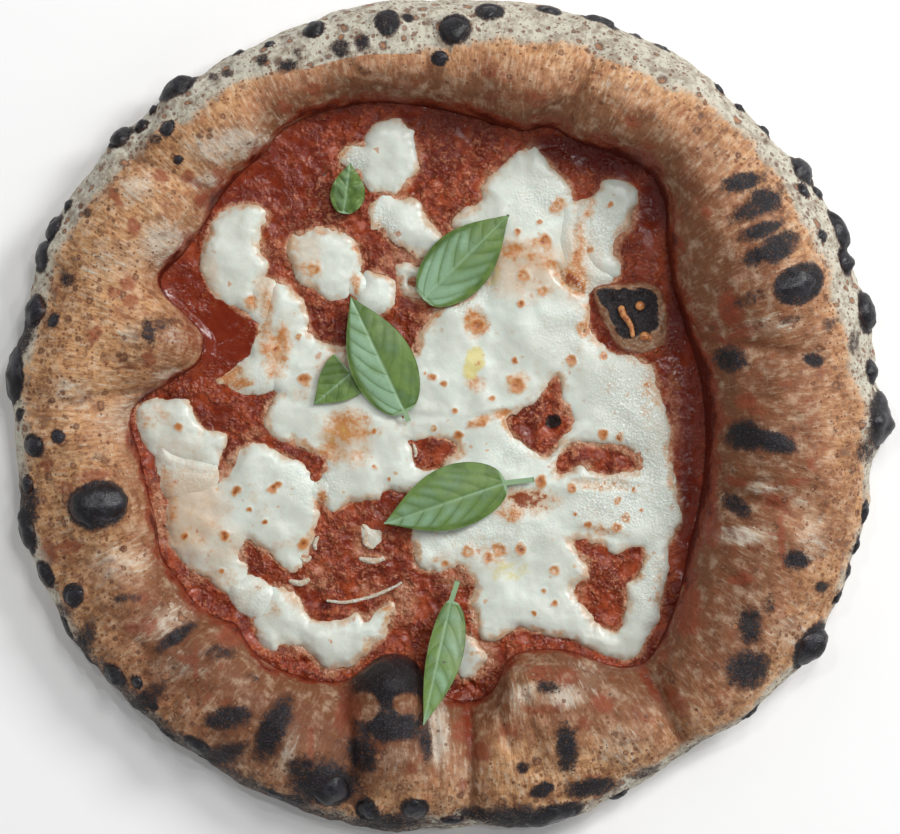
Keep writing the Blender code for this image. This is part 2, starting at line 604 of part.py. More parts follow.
def make_sauce(parts):
    """The tomato sauce, spread on the base as far as the rim and round the bubble."""
    turns = np.arange(0.0, 360.0, 4.0)
    outline = ring_of_points(turns, well_radius(turns) - SAUCE_INSET)
    x, y, half_x, half_y, _ = FLOOR_BUBBLE
    hole = ring_of_points(np.arange(0.0, 360.0, 22.5), max(half_x, half_y) + BUBBLE_CLEARANCE, (x, y))
    bottom = BASE_THICKNESS + LAYER_GAP

    def top_at(px, py, depth):
        swell = smooth_step(depth / SAUCE_SLOPE)
        pits = np.clip(bumps(px, py, SAUCE_GRAIN, 3.0) + 0.3, 0.0, 1.0)
        return bottom + SAUCE_EDGE + (SAUCE_THICKNESS - SAUCE_EDGE - SAUCE_RELIEF * pits) * swell

    mesh = layer_mesh("tomato_sauce", [outline, hole], SAUCE_PITCH, bottom, top_at)
    add_object("tomato_sauce", mesh, parts, "tomato_sauce")


def make_cheese(parts):
    """Each melted piece of mozzarella, lying on the sauce, with a rounded edge."""
    bottom = BASE_THICKNESS + LAYER_GAP + SAUCE_THICKNESS + LAYER_GAP

    def top_at(px, py, depth):
        swell = 1.0 - np.exp(-depth / CHEESE_LIP)
        relief = CHEESE_RELIEF * bumps(px, py, CHEESE_GRAIN, 7.0)
        return bottom + CHEESE_EDGE + (CHEESE_THICKNESS - CHEESE_EDGE + relief) * swell

    for name, points in CHEESE.items():
        loops = [smooth_outline(loop) for loop in (points, *WINDOWS.get(name, []))]
        add_object(name, layer_mesh(name, loops, CHEESE_PITCH, bottom, top_at), parts, "mozzarella")


def surface_below(x, y):
    """The height that a leaf keeps over, which is the toppings or the dough, with their clearance."""
    toppings = BASE_THICKNESS + 2 * LAYER_GAP + SAUCE_THICKNESS + CHEESE_THICKNESS + CHEESE_RELIEF
    return np.maximum(toppings + LEAF_OVER_TOPPINGS, crust_height(x, y) + LEAF_OVER_DOUGH)


def leaf_surface(leaf):
    """A grid of points on the leaf's middle surface, from its stem to its tip and side to side.

    The half-width is that of a blade which is widest near its base, blunt there and pointed at the
    tip. The heights are an arch, with its edges bent down, that is lifted where it would touch.
    """
    base, tip = np.array(leaf["base"], float), np.array(leaf["tip"], float)
    u = np.linspace(0.0, 1.0, LEAF_ROWS)
    blade = leaf["hidden"] + (1.0 - leaf["hidden"]) * u
    swell = np.sin(math.pi * blade**BLADE_SKEW).clip(0.0) ** (BLUNT_BASE + POINTED_TIP * blade)
    sides = np.array([np.maximum(width * swell, LEAF_TIP) for width in leaf["widths"]])
    middle = base + (tip - base) * u[:, None]
    arch = curve_through(leaf["arch"], u)
    if leaf["stem"] is not None:
        end = np.array(leaf["stem"], float)
        stem = end + (base - end) * np.linspace(0.0, 1.0, STEM_ROWS, endpoint=False)[:, None]
        middle = np.concatenate([stem, middle])
        sides = np.concatenate([np.full((2, STEM_ROWS), STEM_HALF_WIDTH), sides], axis=1)
        arch = np.concatenate([np.full(STEM_ROWS, arch[0]), arch])
    run = np.gradient(middle, axis=0)
    across = np.stack([-run[:, 1], run[:, 0]], axis=1) / np.linalg.norm(run, axis=1)[:, None]
    v = np.linspace(-1.0, 1.0, LEAF_COLUMNS)
    reach = np.where(v > 0.0, sides[0][:, None], sides[1][:, None]) * v
    plan = middle[:, None, :] + across[:, None, :] * reach[:, :, None]
    low = surface_below(plan[:, :, 0], plan[:, :, 1])
    spread = np.abs(reach) / max(leaf["widths"])
    wave = leaf["ripple"] * np.sin(np.linspace(0.0, RIPPLES, len(middle)))[:, None] * spread**1.5
    rise = low.min() + arch[:, None] - leaf["bend"] * spread**2 + wave
    return np.concatenate([plan, np.maximum(rise, low)[:, :, None]], axis=2)


def make_leaf(name, leaf, parts):
    """One basil leaf: a thin wavy blade, with its stem where that shows."""
    surface = leaf_surface(leaf)
    shape = bmesh.new()
    points = [[shape.verts.new(Vector(place) * MM) for place in row] for row in surface]
    for near, far in zip(points, points[1:]):
        for a, b, c, d in zip(near, near[1:], far[1:], far):
            shape.faces.new([a, b, c])
            shape.faces.new([a, c, d])
    bmesh.ops.recalc_face_normals(shape, faces=shape.faces)
    mesh = bpy.data.meshes.new(name)
    shape.to_mesh(mesh)
    shape.free()
    blade = add_object(name, mesh, parts, "basil")
    solidify = blade.modifiers.new("Thickness", "SOLIDIFY")
    solidify.thickness = LEAF_THICKNESS * MM
    solidify.offset = 0.0


def main():
    """Builds every piece of the pizza."""
    clear_scene()
    parts = new_collection("pizza")
    helpers = new_collection("blisters")
    make_crust(parts, helpers)
    make_sauce(parts)
    make_cheese(parts)
    for name, leaf in LEAVES.items():
        make_leaf(name, leaf, parts)
    for obj in parts.objects:
        obj.data.shade_smooth()
        obj.data.set_sharp_from_angle(angle=math.radians(50.0))


main()
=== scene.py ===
"""The looks of a wood-fired pizza: charred dough, tomato sauce, melted mozzarella and basil.

The pizza lies on z = 0 with the middle of its plan at the origin, +Y to the top of the picture
and +X to its right. Lengths in the tables and size fields are millimetres, and MM makes them the
metres that Blender uses.
"""

import logging
import math
from dataclasses import dataclass, field
from enum import Enum
from typing import NamedTuple

import bpy
import numpy as np
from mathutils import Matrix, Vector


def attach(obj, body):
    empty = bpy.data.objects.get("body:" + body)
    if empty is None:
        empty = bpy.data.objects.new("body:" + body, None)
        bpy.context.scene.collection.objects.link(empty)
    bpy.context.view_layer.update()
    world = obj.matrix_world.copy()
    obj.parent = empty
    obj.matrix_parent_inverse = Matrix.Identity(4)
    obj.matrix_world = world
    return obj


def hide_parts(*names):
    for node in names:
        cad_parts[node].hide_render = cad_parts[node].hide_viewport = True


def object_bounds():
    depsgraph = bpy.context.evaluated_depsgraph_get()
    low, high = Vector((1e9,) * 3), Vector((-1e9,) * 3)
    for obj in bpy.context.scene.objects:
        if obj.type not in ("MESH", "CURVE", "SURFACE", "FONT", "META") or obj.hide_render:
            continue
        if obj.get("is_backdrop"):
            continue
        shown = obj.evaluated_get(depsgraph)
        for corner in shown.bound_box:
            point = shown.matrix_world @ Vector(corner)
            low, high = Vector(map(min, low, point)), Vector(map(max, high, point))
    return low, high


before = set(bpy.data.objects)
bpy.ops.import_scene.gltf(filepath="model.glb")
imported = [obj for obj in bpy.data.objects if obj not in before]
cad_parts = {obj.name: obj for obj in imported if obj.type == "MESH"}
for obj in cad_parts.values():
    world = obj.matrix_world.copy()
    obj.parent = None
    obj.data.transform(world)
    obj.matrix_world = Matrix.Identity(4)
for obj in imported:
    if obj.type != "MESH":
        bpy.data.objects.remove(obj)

CAD_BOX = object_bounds()
MM = 0.001
LOG = logging.getLogger("pizza")

Array = np.ndarray
Colour = tuple[float, float, float, float]
Material = bpy.types.Material
Mesh = bpy.types.Mesh
Piece = bpy.types.Object

# The rim's outer edge as (direction in degrees, distance from the middle).
RIM_EDGE = [
    (0, 152), (15, 153), (30, 154), (45, 151), (60, 152), (75, 149), (90, 148.5), (105, 150), (120, 150),
    (135, 153), (150, 157), (165, 155.5), (180, 155), (195, 157), (210, 156), (225, 151.5), (240, 150),
    (255, 150), (270, 146.5), (285, 147.5), (292, 148.5), (305, 145.5), (315, 150.5), (330, 153),
    (345, 152),
]

# The height of the rim's crown as (direction in degrees, height).
RIM_CROWN = [
    (0, 36), (30, 37), (60, 33), (90, 31), (120, 29), (150, 30), (180, 26), (210, 27), (240, 28), (270, 29),
    (285, 33), (305, 29), (330, 33),
]

# The foot of the rim's inner wall, in plan.
WELL_EDGE = [
    (91, 0), (89, 16), (84, 31), (79.5, 46), (77, 62), (77, 76), (72, 87), (62, 92.5), (53, 95.5),
    (45, 98.5), (38, 103), (33, 104), (27, 101.5), (17, 104), (0, 109), (-12, 111), (-25, 112.5),
    (-40, 110.5), (-52, 107), (-61, 102), (-66, 94), (-74, 88), (-83, 77), (-88, 68), (-96, 57), (-104, 50),
    (-102, 42), (-92, 36), (-87, 28), (-89, 19), (-100, 12), (-110, 7), (-115, 0), (-111, -12), (-108, -24),
    (-105, -37), (-103, -50), (-96, -59), (-91, -67), (-83, -72), (-76, -73), (-71, -83), (-63, -89),
    (-52, -93), (-42, -95), (-34, -93), (-28, -86.5), (-21, -84), (-13, -86), (-8, -94), (0, -101),
    (10, -101.5), (17, -96), (19, -88), (24, -84), (33, -82.5), (42, -83), (50, -86), (60, -89.5),
    (70, -88), (77, -76), (82, -62), (85, -46), (89, -30), (91, -15),
]

# Where the rim's skin turns into the pale floury band that goes down its outer side.
BAND_EDGE = [
    (0, 146), (15, 141), (30, 143), (45, 143), (60, 139), (75, 137), (90, 131), (105, 127), (120, 138),
    (135, 143), (150, 148), (165, 149), (180, 151), (195, 153), (210, 154), (225, 149), (240, 147),
    (255, 145), (270, 142), (285, 145), (300, 142), (315, 148), (330, 152), (345, 150),
]

# How far up the inner wall the sauce has stained the dough, over the base.
SAUCE_CLIMB = [
    (0, 22), (30, 20), (60, 17), (90, 13), (120, 10), (150, 11), (180, 8), (210, 7), (240, 9), (270, 8),
    (300, 9), (330, 16),
]

# Swellings of the rim: middle x and y, half-width, and rise.
LOBES = [
    (-80, 102, 20, 3), (-107, 67, 24, 3), (-103, 26, 17, 4.5), (-132, 22, 22, 2), (-124, -31, 17, 3.5),
    (-112, -66, 20, 2), (-86, -84, 15, 3.5), (-56, -118, 18, 2.5), (-21, -92, 13, 8), (-18, -124, 16, 3),
    (37, -100, 26, 4), (66, -116, 16, 2), (93, -94, 20, 2.5), (110, -44, 24, 2), (108, -10, 17, 3.5),
    (112, 58, 30, 3), (26, 117, 22, 3), (58, 112, 16, 2.5), (-30, 122, 18, 2),
]

# Folds between the swellings: the two ends, half-width, and depth.
FOLDS = [
    ((66, -86), (88, -124), 6, 5), ((6, -100), (9, -140), 6, 5), ((-38, -98), (-34, -136), 6, 4),
    ((-76, -76), (-100, -104), 5, 2.5), ((88, 28), (126, 22), 6, 3), ((92, -24), (126, -36), 6, 2.5),
    ((-84, 80), (-112, 92), 6, 3), ((-106, 10), (-148, 4), 6, 2.5), ((40, 102), (52, 130), 6, 2.5),
    ((-4, 108), (-8, 134), 7, 2.5), ((-104, -44), (-146, -62), 6, 2),
]

# Creases in the skin that are narrower than the folds: the two ends and depth.
CREASES = [
    ((70, -90), (86, -118), 1.6), ((7, -103), (9, -134), 1.5), ((-36, -101), (-34, -128), 1.4),
    ((92, 27), (118, 23), 1), ((95, -25), (118, -33), 1), ((-88, 82), (-108, 90), 0.9),
    ((-110, 9), (-140, 5), 0.9), ((42, 104), (50, 124), 0.8), ((-80, -80), (-98, -102), 1),
    ((-62, -94), (-72, -122), 0.9), ((-90, 34), (-84, 22), 0.8), ((93, 62), (112, 92), 0.8),
    ((22, -88), (30, -112), 0.8), ((54, -90), (60, -116), 0.8), ((-100, 48), (-122, 44), 0.8),
    ((15, -96), (21, -116), 1.4), ((-6, -104), (-4, -128), 1.2), ((-36, -96), (-39, -112), 1.2),
]

# Ridges that ring a collapsed bubble: middle x and y, radius, width and height.
RING_FOLDS = [
    (-101.7, 25.7, 8, 1.4, 0.7), (-101.7, 25.7, 12.5, 1.6, 0.8), (-101.7, 25.7, 16.5, 1.8, 0.7),
    (108.8, -8.2, 12.5, 1.6, 0.7), (108.8, -8.2, 17, 1.8, 0.8), (-124, -31, 13.5, 1.6, 0.6),
    (37, -93, 9, 1.8, 0.8), (37, -93, 15, 2, 0.8), (110, -47, 11, 1.8, 0.5),
]

# Blisters that stand off the rim's skin: middle x and y, half-length along the rim, half-width.
BLISTERS = [
    (127.5, 89, 6, 6), (140, 67, 8, 5), (140, 55, 5, 4.5), (151, 38, 7.5, 6), (149, 16, 4.5, 4),
    (151, -1, 10, 9.8), (122, 46.7, 6.6, 9.4), (127.5, -81, 9, 8.5), (35, -140, 12, 6.5),
    (53.5, 141, 7, 4.5), (35, 143.5, 4.5, 3.5), (14, 142.5, 5, 4.5), (1.8, 136.5, 5.5, 5.5),
    (-22, 138.5, 4.5, 5.5), (-48, 137, 4, 4.2), (-97.5, 117.5, 7.5, 7), (-119.5, 101, 5.5, 5),
    (-143, 68, 5.5, 4.5), (-146, 58.5, 6.5, 5), (-147.5, 37.5, 6, 4.8), (-154.5, 15, 11, 6.6),
    (-147, -10, 4.2, 4.2), (-124, -31, 8, 10.5), (-150, -40, 9, 5), (-143.5, -55.5, 5, 4),
    (-133, -63, 4.2, 4.2), (-119, -91.5, 5, 4.2), (-89.5, -115.5, 5.5, 4), (-12.5, -138, 5, 4.8),
    (-29, -139, 4.5, 4.5), (-42, -131, 8, 7),
]

# Small blisters that only the finished skin shows, in the same form.
SMALL_BLISTERS = [
    (-109.5, 103.4, 3, 2.7), (-99.5, 101.7, 3.2, 2.8), (-140, 34.2, 2.6, 2.4), (-95.7, 90.8, 1.8, 1.5),
    (-107, 111, 2.2, 2), (-15, 140, 2.5, 2.2), (-3.6, 126.3, 3, 2.6), (75, 130, 3.4, 2.8),
    (111, 101, 3, 2.6), (125, 80, 3, 2.6), (133, 81, 3, 2.6), (131, 64, 2.3, 2.2), (148, -34, 4.5, 2.6),
    (146, -46, 3.6, 2.4), (143, -56, 3.2, 2.2), (141, -65, 3.4, 2.2), (32, -131, 4.6, 3),
    (0.7, -143, 4, 2.2), (-132.7, -62.4, 3.2, 3), (-138.4, -7, 2.5, 2.3), (-151.6, 0.7, 3, 2.6),
    (-135.6, 75, 2.4, 2.2), (-110.6, -93.8, 2.6, 2.2), (-106, -101, 3.4, 2.6), (-138, -76, 4.5, 2.6),
    (-129, -86, 3.6, 2.4), (-100, -112, 4, 2.6), (66, 135, 2.6, 2.2), (95, 116, 3, 2.4), (103, 110, 2.4, 2),
    (-75, 129, 2.4, 2), (-64, 132, 2, 1.8), (137, 92, 3, 2.2), (108, -106, 4, 2.6), (60, -134, 4, 2.4),
    (-62, -133, 4.6, 2.8), (-150, -24, 3.2, 2.4),
]

# Char on the rim's skin, as ovals: see the class Oval for what each number is.
CHAR_MARKS = [
    (102.5, 82.5, 7.5, 3.2, 1, 14), (108, 74, 10.5, 3.4, 0.85, 30), (110.5, 76, 6, 4.6, 1, 10),
    (109, 65.2, 7.8, 2.8, 0.95, 20), (114, 59, 7, 4.6, 1, 25), (107, 56, 5, 3, 0.9, 20),
    (118, 62.5, 5, 3, 0.8, 10), (105, 41.5, 7, 2.6, 0.5, 24), (99, 20.5, 5.6, 4.6, 0.9, -10),
    (127.5, 20, 4, 2.4, 0.95, -8), (119.6, 34, 4, 1.6, 0.55, 8), (104, -6.6, 6.4, 5.2, 1.1),
    (112, -8.4, 9.5, 3.6, 1.1, -14), (101.3, -31.2, 6, 3.2, 0.85, -35), (121.8, -50.2, 4.8, 3.4, 1, -8),
    (131.1, -60, 2.6, 2, 0.8), (105.5, -73.5, 4.2, 7.2, 0.85), (105, -89, 7.6, 7, 0.95, 10),
    (112, -66, 2.6, 4, 0.5), (41, -116.5, 3.8, 8.6, 1, 6), (34, -95, 4.6, 2.2, 0.75, -6),
    (50, -131, 9, 3.4, 1, 8), (-62.4, -110, 4.8, 11.5, 1, -26), (-78.5, -106, 8.5, 4, 0.95, 10),
    (-97, -77.8, 8, 2.4, 0.95, 35), (-82.8, -83, 3.4, 3, 0.6), (-78.6, -83.4, 3, 2.4, 0.55),
    (-106.3, 30, 2.4, 5.4, 0.72, 8), (-101, 33, 5, 2.4, 0.4, 20), (-110, 24, 6, 1.6, 0.3, 30),
    (-21, -94, 13, 10.5, 1.2), (-21, -109, 12, 5.5, 1.1), (-31, -119, 5.5, 7, 0.9, 20),
    (-8.5, -115, 2.2, 7, 0.8, 8), (25.5, -123.4, 2.2, 2.2, 0.9), (-138, -69, 4, 3, 0.55),
    (-44.6, -129.5, 12, 8), (-52, -124, 6, 5, 0.8), (-86, -122, 16, 4, 0.9, 22),
    (-112, -104, 14, 4, 0.9, 42), (-133, -84, 13, 4, 0.8, 56), (-60, -138, 14, 4, 0.9, 12),
    (-22, -144, 16, 4, 0.85, 4), (28, -143, 20, 5, 0.95, -4), (10, -141, 8, 3, 0.8, -4),
    (-150, -30, 4, 9, 0.8, 8), (-152, 30, 4, 9, 0.8, -8), (128, 100, 4, 3, 0.6), (147, -12, 4, 5, 0.6),
    (-66.4, 126.3, 2.2, 2.4, 0.8), (-57.5, 123.6, 3.8, 2.4, 0.8, 20), (-38.7, 129.7, 3.2, 3.4, 0.85),
    (-30.9, 131.8, 2.8, 3.2, 0.85), (-84, 120.5, 2.2, 1.5, 0.7), (-78.7, 121.5, 2.2, 1.6, 0.7),
    (-54, 128.3, 2, 2, 0.5), (-104, 98.3, 2.6, 2, 0.7), (-135.3, 48.6, 2.6, 2.4, 0.8),
    (-128, 72, 1.8, 1.8, 0.7), (142.8, 27, 2.4, 4.4, 0.55, -8), (133.3, 32.7, 2.4, 2.4, 0.5),
    (-124, -14, 3, 2, 0.4), (-116, -64, 3.4, 2, 0.6, 20), (-111, -64, 2.4, 1.6, 0.5), (-70, -92, 3, 2, 0.4),
    (70, -126, 6, 2, 0.6, 20), (88, -118, 7, 2.4, 0.55, 36), (-30, 122, 2, 1.6, 0.4),
]

# Places inside the char that have stayed bare.
BARE_MARKS = [(-29.5, -102, 4.4, 5), (-15.7, -101, 4.6, 3.6), (-18.6, -119.5, 6.8, 5.6, 0.9)]

# Browning of the rim's skin.
BROWN_MARKS = [
    (108, 68, 18, 22, 0.6), (104, 18, 14, 12, 0.55), (108.8, -8, 18, 12, 0.6, -6), (112, -60, 22, 14, 0.45),
    (104, -82, 14, 18, 0.7), (37, -112, 16, 16, 0.7), (-30, -120, 26, 18, 0.85),
    (-70, -112, 24, 14, 0.85, 20), (-104, -92, 22, 10, 0.75, 42), (-124, -31, 15, 15, 0.8),
    (-103, 27, 15, 13, 0.62), (-140, -10, 8, 26, 0.6), (-144, 40, 7, 30, 0.5, -8), (-128, 76, 12, 16, 0.45),
    (-40, 128, 40, 7, 0.35, -4), (40, 118, 36, 10, 0.4, -6), (130, 30, 12, 30, 0.5),
    (132, -40, 12, 30, 0.55), (66, -118, 16, 14, 0.5), (-90, 96, 26, 10, 0.35, 35),
    (96, 100, 18, 12, 0.5, -40), (-122, -62, 24, 14, 0.8, -40), (-100, -84, 20, 10, 0.5, -30),
]

# Rust-red patches on the rim's skin.
RUST_MARKS = [
    (-102, 85, 3, 2.8), (-92.5, 85, 2.6, 2.2), (-81.5, 86, 2.8, 2.4), (-88, 77, 3, 2.4, 1, 30),
    (-58.5, 109.5, 2.8, 2.4, 0.9), (-48, 116, 3.2, 2.4, 0.9), (-117.7, 77.5, 5, 1.6, 1, -55),
    (-113.9, 47, 3.2, 3), (-118.4, 43.8, 2.8, 2.6, 0.8), (-112.6, 40.6, 3, 3, 0.9),
    (-111.4, 66.7, 2.2, 3.6, 1, 10), (-106.3, 20.2, 2.6, 3), (-125.4, 29.1, 2.4, 3.4, 0.9, -20),
    (-100, 28, 4, 3, 0.6), (-112.7, -74.3, 4, 2.4, 0.9), (-106.3, -73.7, 3.6, 3.4, 0.9),
    (-108.8, -64.1, 2.6, 2.2, 0.8), (-142.6, -48, 5, 4), (-134.3, -45.7, 5, 2.8, 1, 10),
    (-77.6, -77.5, 5, 4.4), (-92.3, -85.8, 5, 1.8, 1, -20), (-89.7, -88, 1.2, 8, 0.9),
    (-126, -20.8, 7, 2.6, 0.9, 6), (-142.6, -17, 2.8, 2.8, 0.8), (-136.2, -25, 3.4, 2.4, 0.8),
    (4, -110.7, 3.2, 4.4), (10.9, -118, 3.6, 3.6), (4.7, -130, 2.2, 3.4, 0.9, 20),
    (20.8, -110.7, 4, 2.6, 0.8), (32.4, -90.7, 5, 2.8, 0.9), (41, -91.8, 5, 3.6, 0.8),
    (53.5, -100.5, 4.6, 3.4, 0.9, -20), (33.9, -102.7, 8, 2, 0.8, 4), (47, -107.8, 3, 2.6, 0.8),
    (51.3, -127.5, 4, 1.8, 0.7), (-36, -105.6, 4.6, 8.6, 1.1), (-40.4, -91.8, 6, 3.2, 1.1, 16),
    (-25.9, -115.8, 3, 2.4, 0.8), (-13.5, -123.8, 2.4, 2.4, 0.8), (-49, -116.5, 1.2, 10, 0.9),
    (100.7, -22.8, 3.8, 2, 1, -20), (115, -30, 6.5, 2.4, 1, -34), (116.5, -44, 1.5, 10, 0.9, 4),
    (102, -57, 4.4, 2, 1, 10), (127, -17, 1.8, 3, 0.9, 20), (122, -22.6, 4.4, 1.4, 0.9, 6),
    (93, -41, 2.8, 5.4, 1.1), (86, -65, 3, 5.4, 1.1), (84, -73, 3.6, 5, 1.1), (104, 5.5, 3.6, 3.4),
    (108, 2, 5, 1.6, 0.7), (98, 38, 3.4, 7, 1, 14), (104, 30, 8, 2.4, 0.7, 12), (90, 72, 2, 3, 0.8),
    (104, 88, 6, 2, 0.5, 20), (70, 96, 3, 2, 0.8), (84, 106, 5, 2, 0.5, -40), (128, 6, 5, 1.4, 0.5, 8),
    (14, 121, 4, 2, 0.7, 10), (30, 112, 6, 3, 0.7, -10), (52, 120, 3, 2, 0.6), (64, 104, 4, 2.4, 0.8, -30),
    (96, -101, 4, 6, 0.5), (80, -100, 3, 7, 0.8, 30), (-16, 118, 8, 2.4, 0.5, 4), (118, 12, 4, 2, 0.5),
]

# Painted highlight: pale creamy patches on the rim's skin where it faces the light.
PAINTED_HIGHLIGHT_MARKS = [
    (-78, 96, 14, 5.4, 1, 12), (-110, 81, 7, 5, 0.8), (-101, 61, 9, 8, 0.95), (-86, 84, 8, 3.6, 0.7, 8),
    (-118, 54, 12, 8, 0.5), (-112.6, 29.1, 4, 4, 0.7), (-98, 28.5, 4, 3, 0.7),
    (-99.2, 15.1, 6, 2.4, 0.8, 8), (-100, -72, 12, 6, 0.6, 20), (-4, -112, 3.6, 12), (40, -98, 7, 4.2),
    (26, -98, 6, 4, 0.8, 20), (-57, -118, 3, 9, 0.7, -14), (102.5, -41.8, 10, 3.2, 0.95),
    (109.5, -25, 5.6, 2.4, 0.8, -10), (122.5, -30, 3, 2, 0.7), (128, -44, 7, 8, 0.6), (120, -76, 8, 6, 0.6),
    (5, -128, 5, 8, 0.5), (-112, 0, 14, 8, 0.6), (48, -92, 8, 6, 0.4), (60, 116, 10, 7, 0.35),
    (-118, -52, 12, 7, 0.7), (-96, -88, 10, 5, 0.5), (112, 32, 12, 4, 0.5, 6), (-134, 8, 12, 7, 0.5),
    (-56, 104, 6, 5, 0.4), (60, -116, 10, 8, 0.5), (92, 92, 8, 5, 0.3), (-116, -2, 10, 6, 0.5),
    (-20, -120, 6, 5, 0.6),
]

# Sauce smeared over the rim's skin.
SMEAR_MARKS = [
    (-88, -65, 10, 7, 0.9, -20), (-57, -88, 9, 3, 0.7, -12), (-37, -95, 6, 3, 0.7), (8, -98, 9, 5, 0.6),
    (-100, -52, 4, 4, 0.5), (-84, 78, 9, 4, 0.8, 45), (-96, 64, 5, 3, 0.5, 50), (100, 36, 5, 12, 0.7, 10),
    (104, 22, 6, 9, 0.45), (98, -44, 4, 8, 0.6), (112, -30, 5, 3, 0.5), (104, -58, 5, 8, 0.55),
    (-92, 30, 8, 9, 0.7), (-112, 18, 6, 3, 0.5, 10), (18, 112, 9, 4, 0.6), (56, 122, 4, 2.4, 0.5, 40),
    (84, 84, 4, 7, 0.5), (-118, 64, 5, 3, 0.3, 20), (66, -104, 3, 6, 0.5, 20), (-66, -98, 3, 5, 0.45),
    (-38, 118, 9, 4, 0.4), (14, -112, 3, 8, 0.4), (124, -20, 3, 2, 0.4), (88, -92, 3, 8, 0.5, 20),
    (-6, 114, 6, 3, 0.5), (-105, 45, 5, 4, 0.45), (119, 4, 4, 2.4, 0.4),
]

# The charred bubble in the well, in plan: its outer foot, its dark patch, the strand of oil on it,
# and the drops of oil with their radii.
BUBBLE_FOOT = [
    (50, 47), (61, 49), (70, 49.5), (76.5, 46.6), (79, 39), (79, 31), (77.5, 24), (69, 21.5), (61, 23),
    (56.5, 29.5), (52.5, 37),
]
BUBBLE_DARK = [
    (52.5, 46), (61.3, 45.5), (69.4, 46), (73, 43.7), (74.6, 37.8), (74.2, 32), (68.7, 29.3), (64.3, 28.2),
    (59.9, 29.7), (56.9, 35.6), (53.2, 42.2),
]
BUBBLE_STRAND = [(61.2, 38.6), (61.8, 36.4), (63.6, 34.4), (64.8, 32), (65.2, 29.2)]
BUBBLE_DROPS = [(67.8, 39.7, 1.7), (69.4, 28.8, 1.7), (71.2, 28.2, 1.1)]

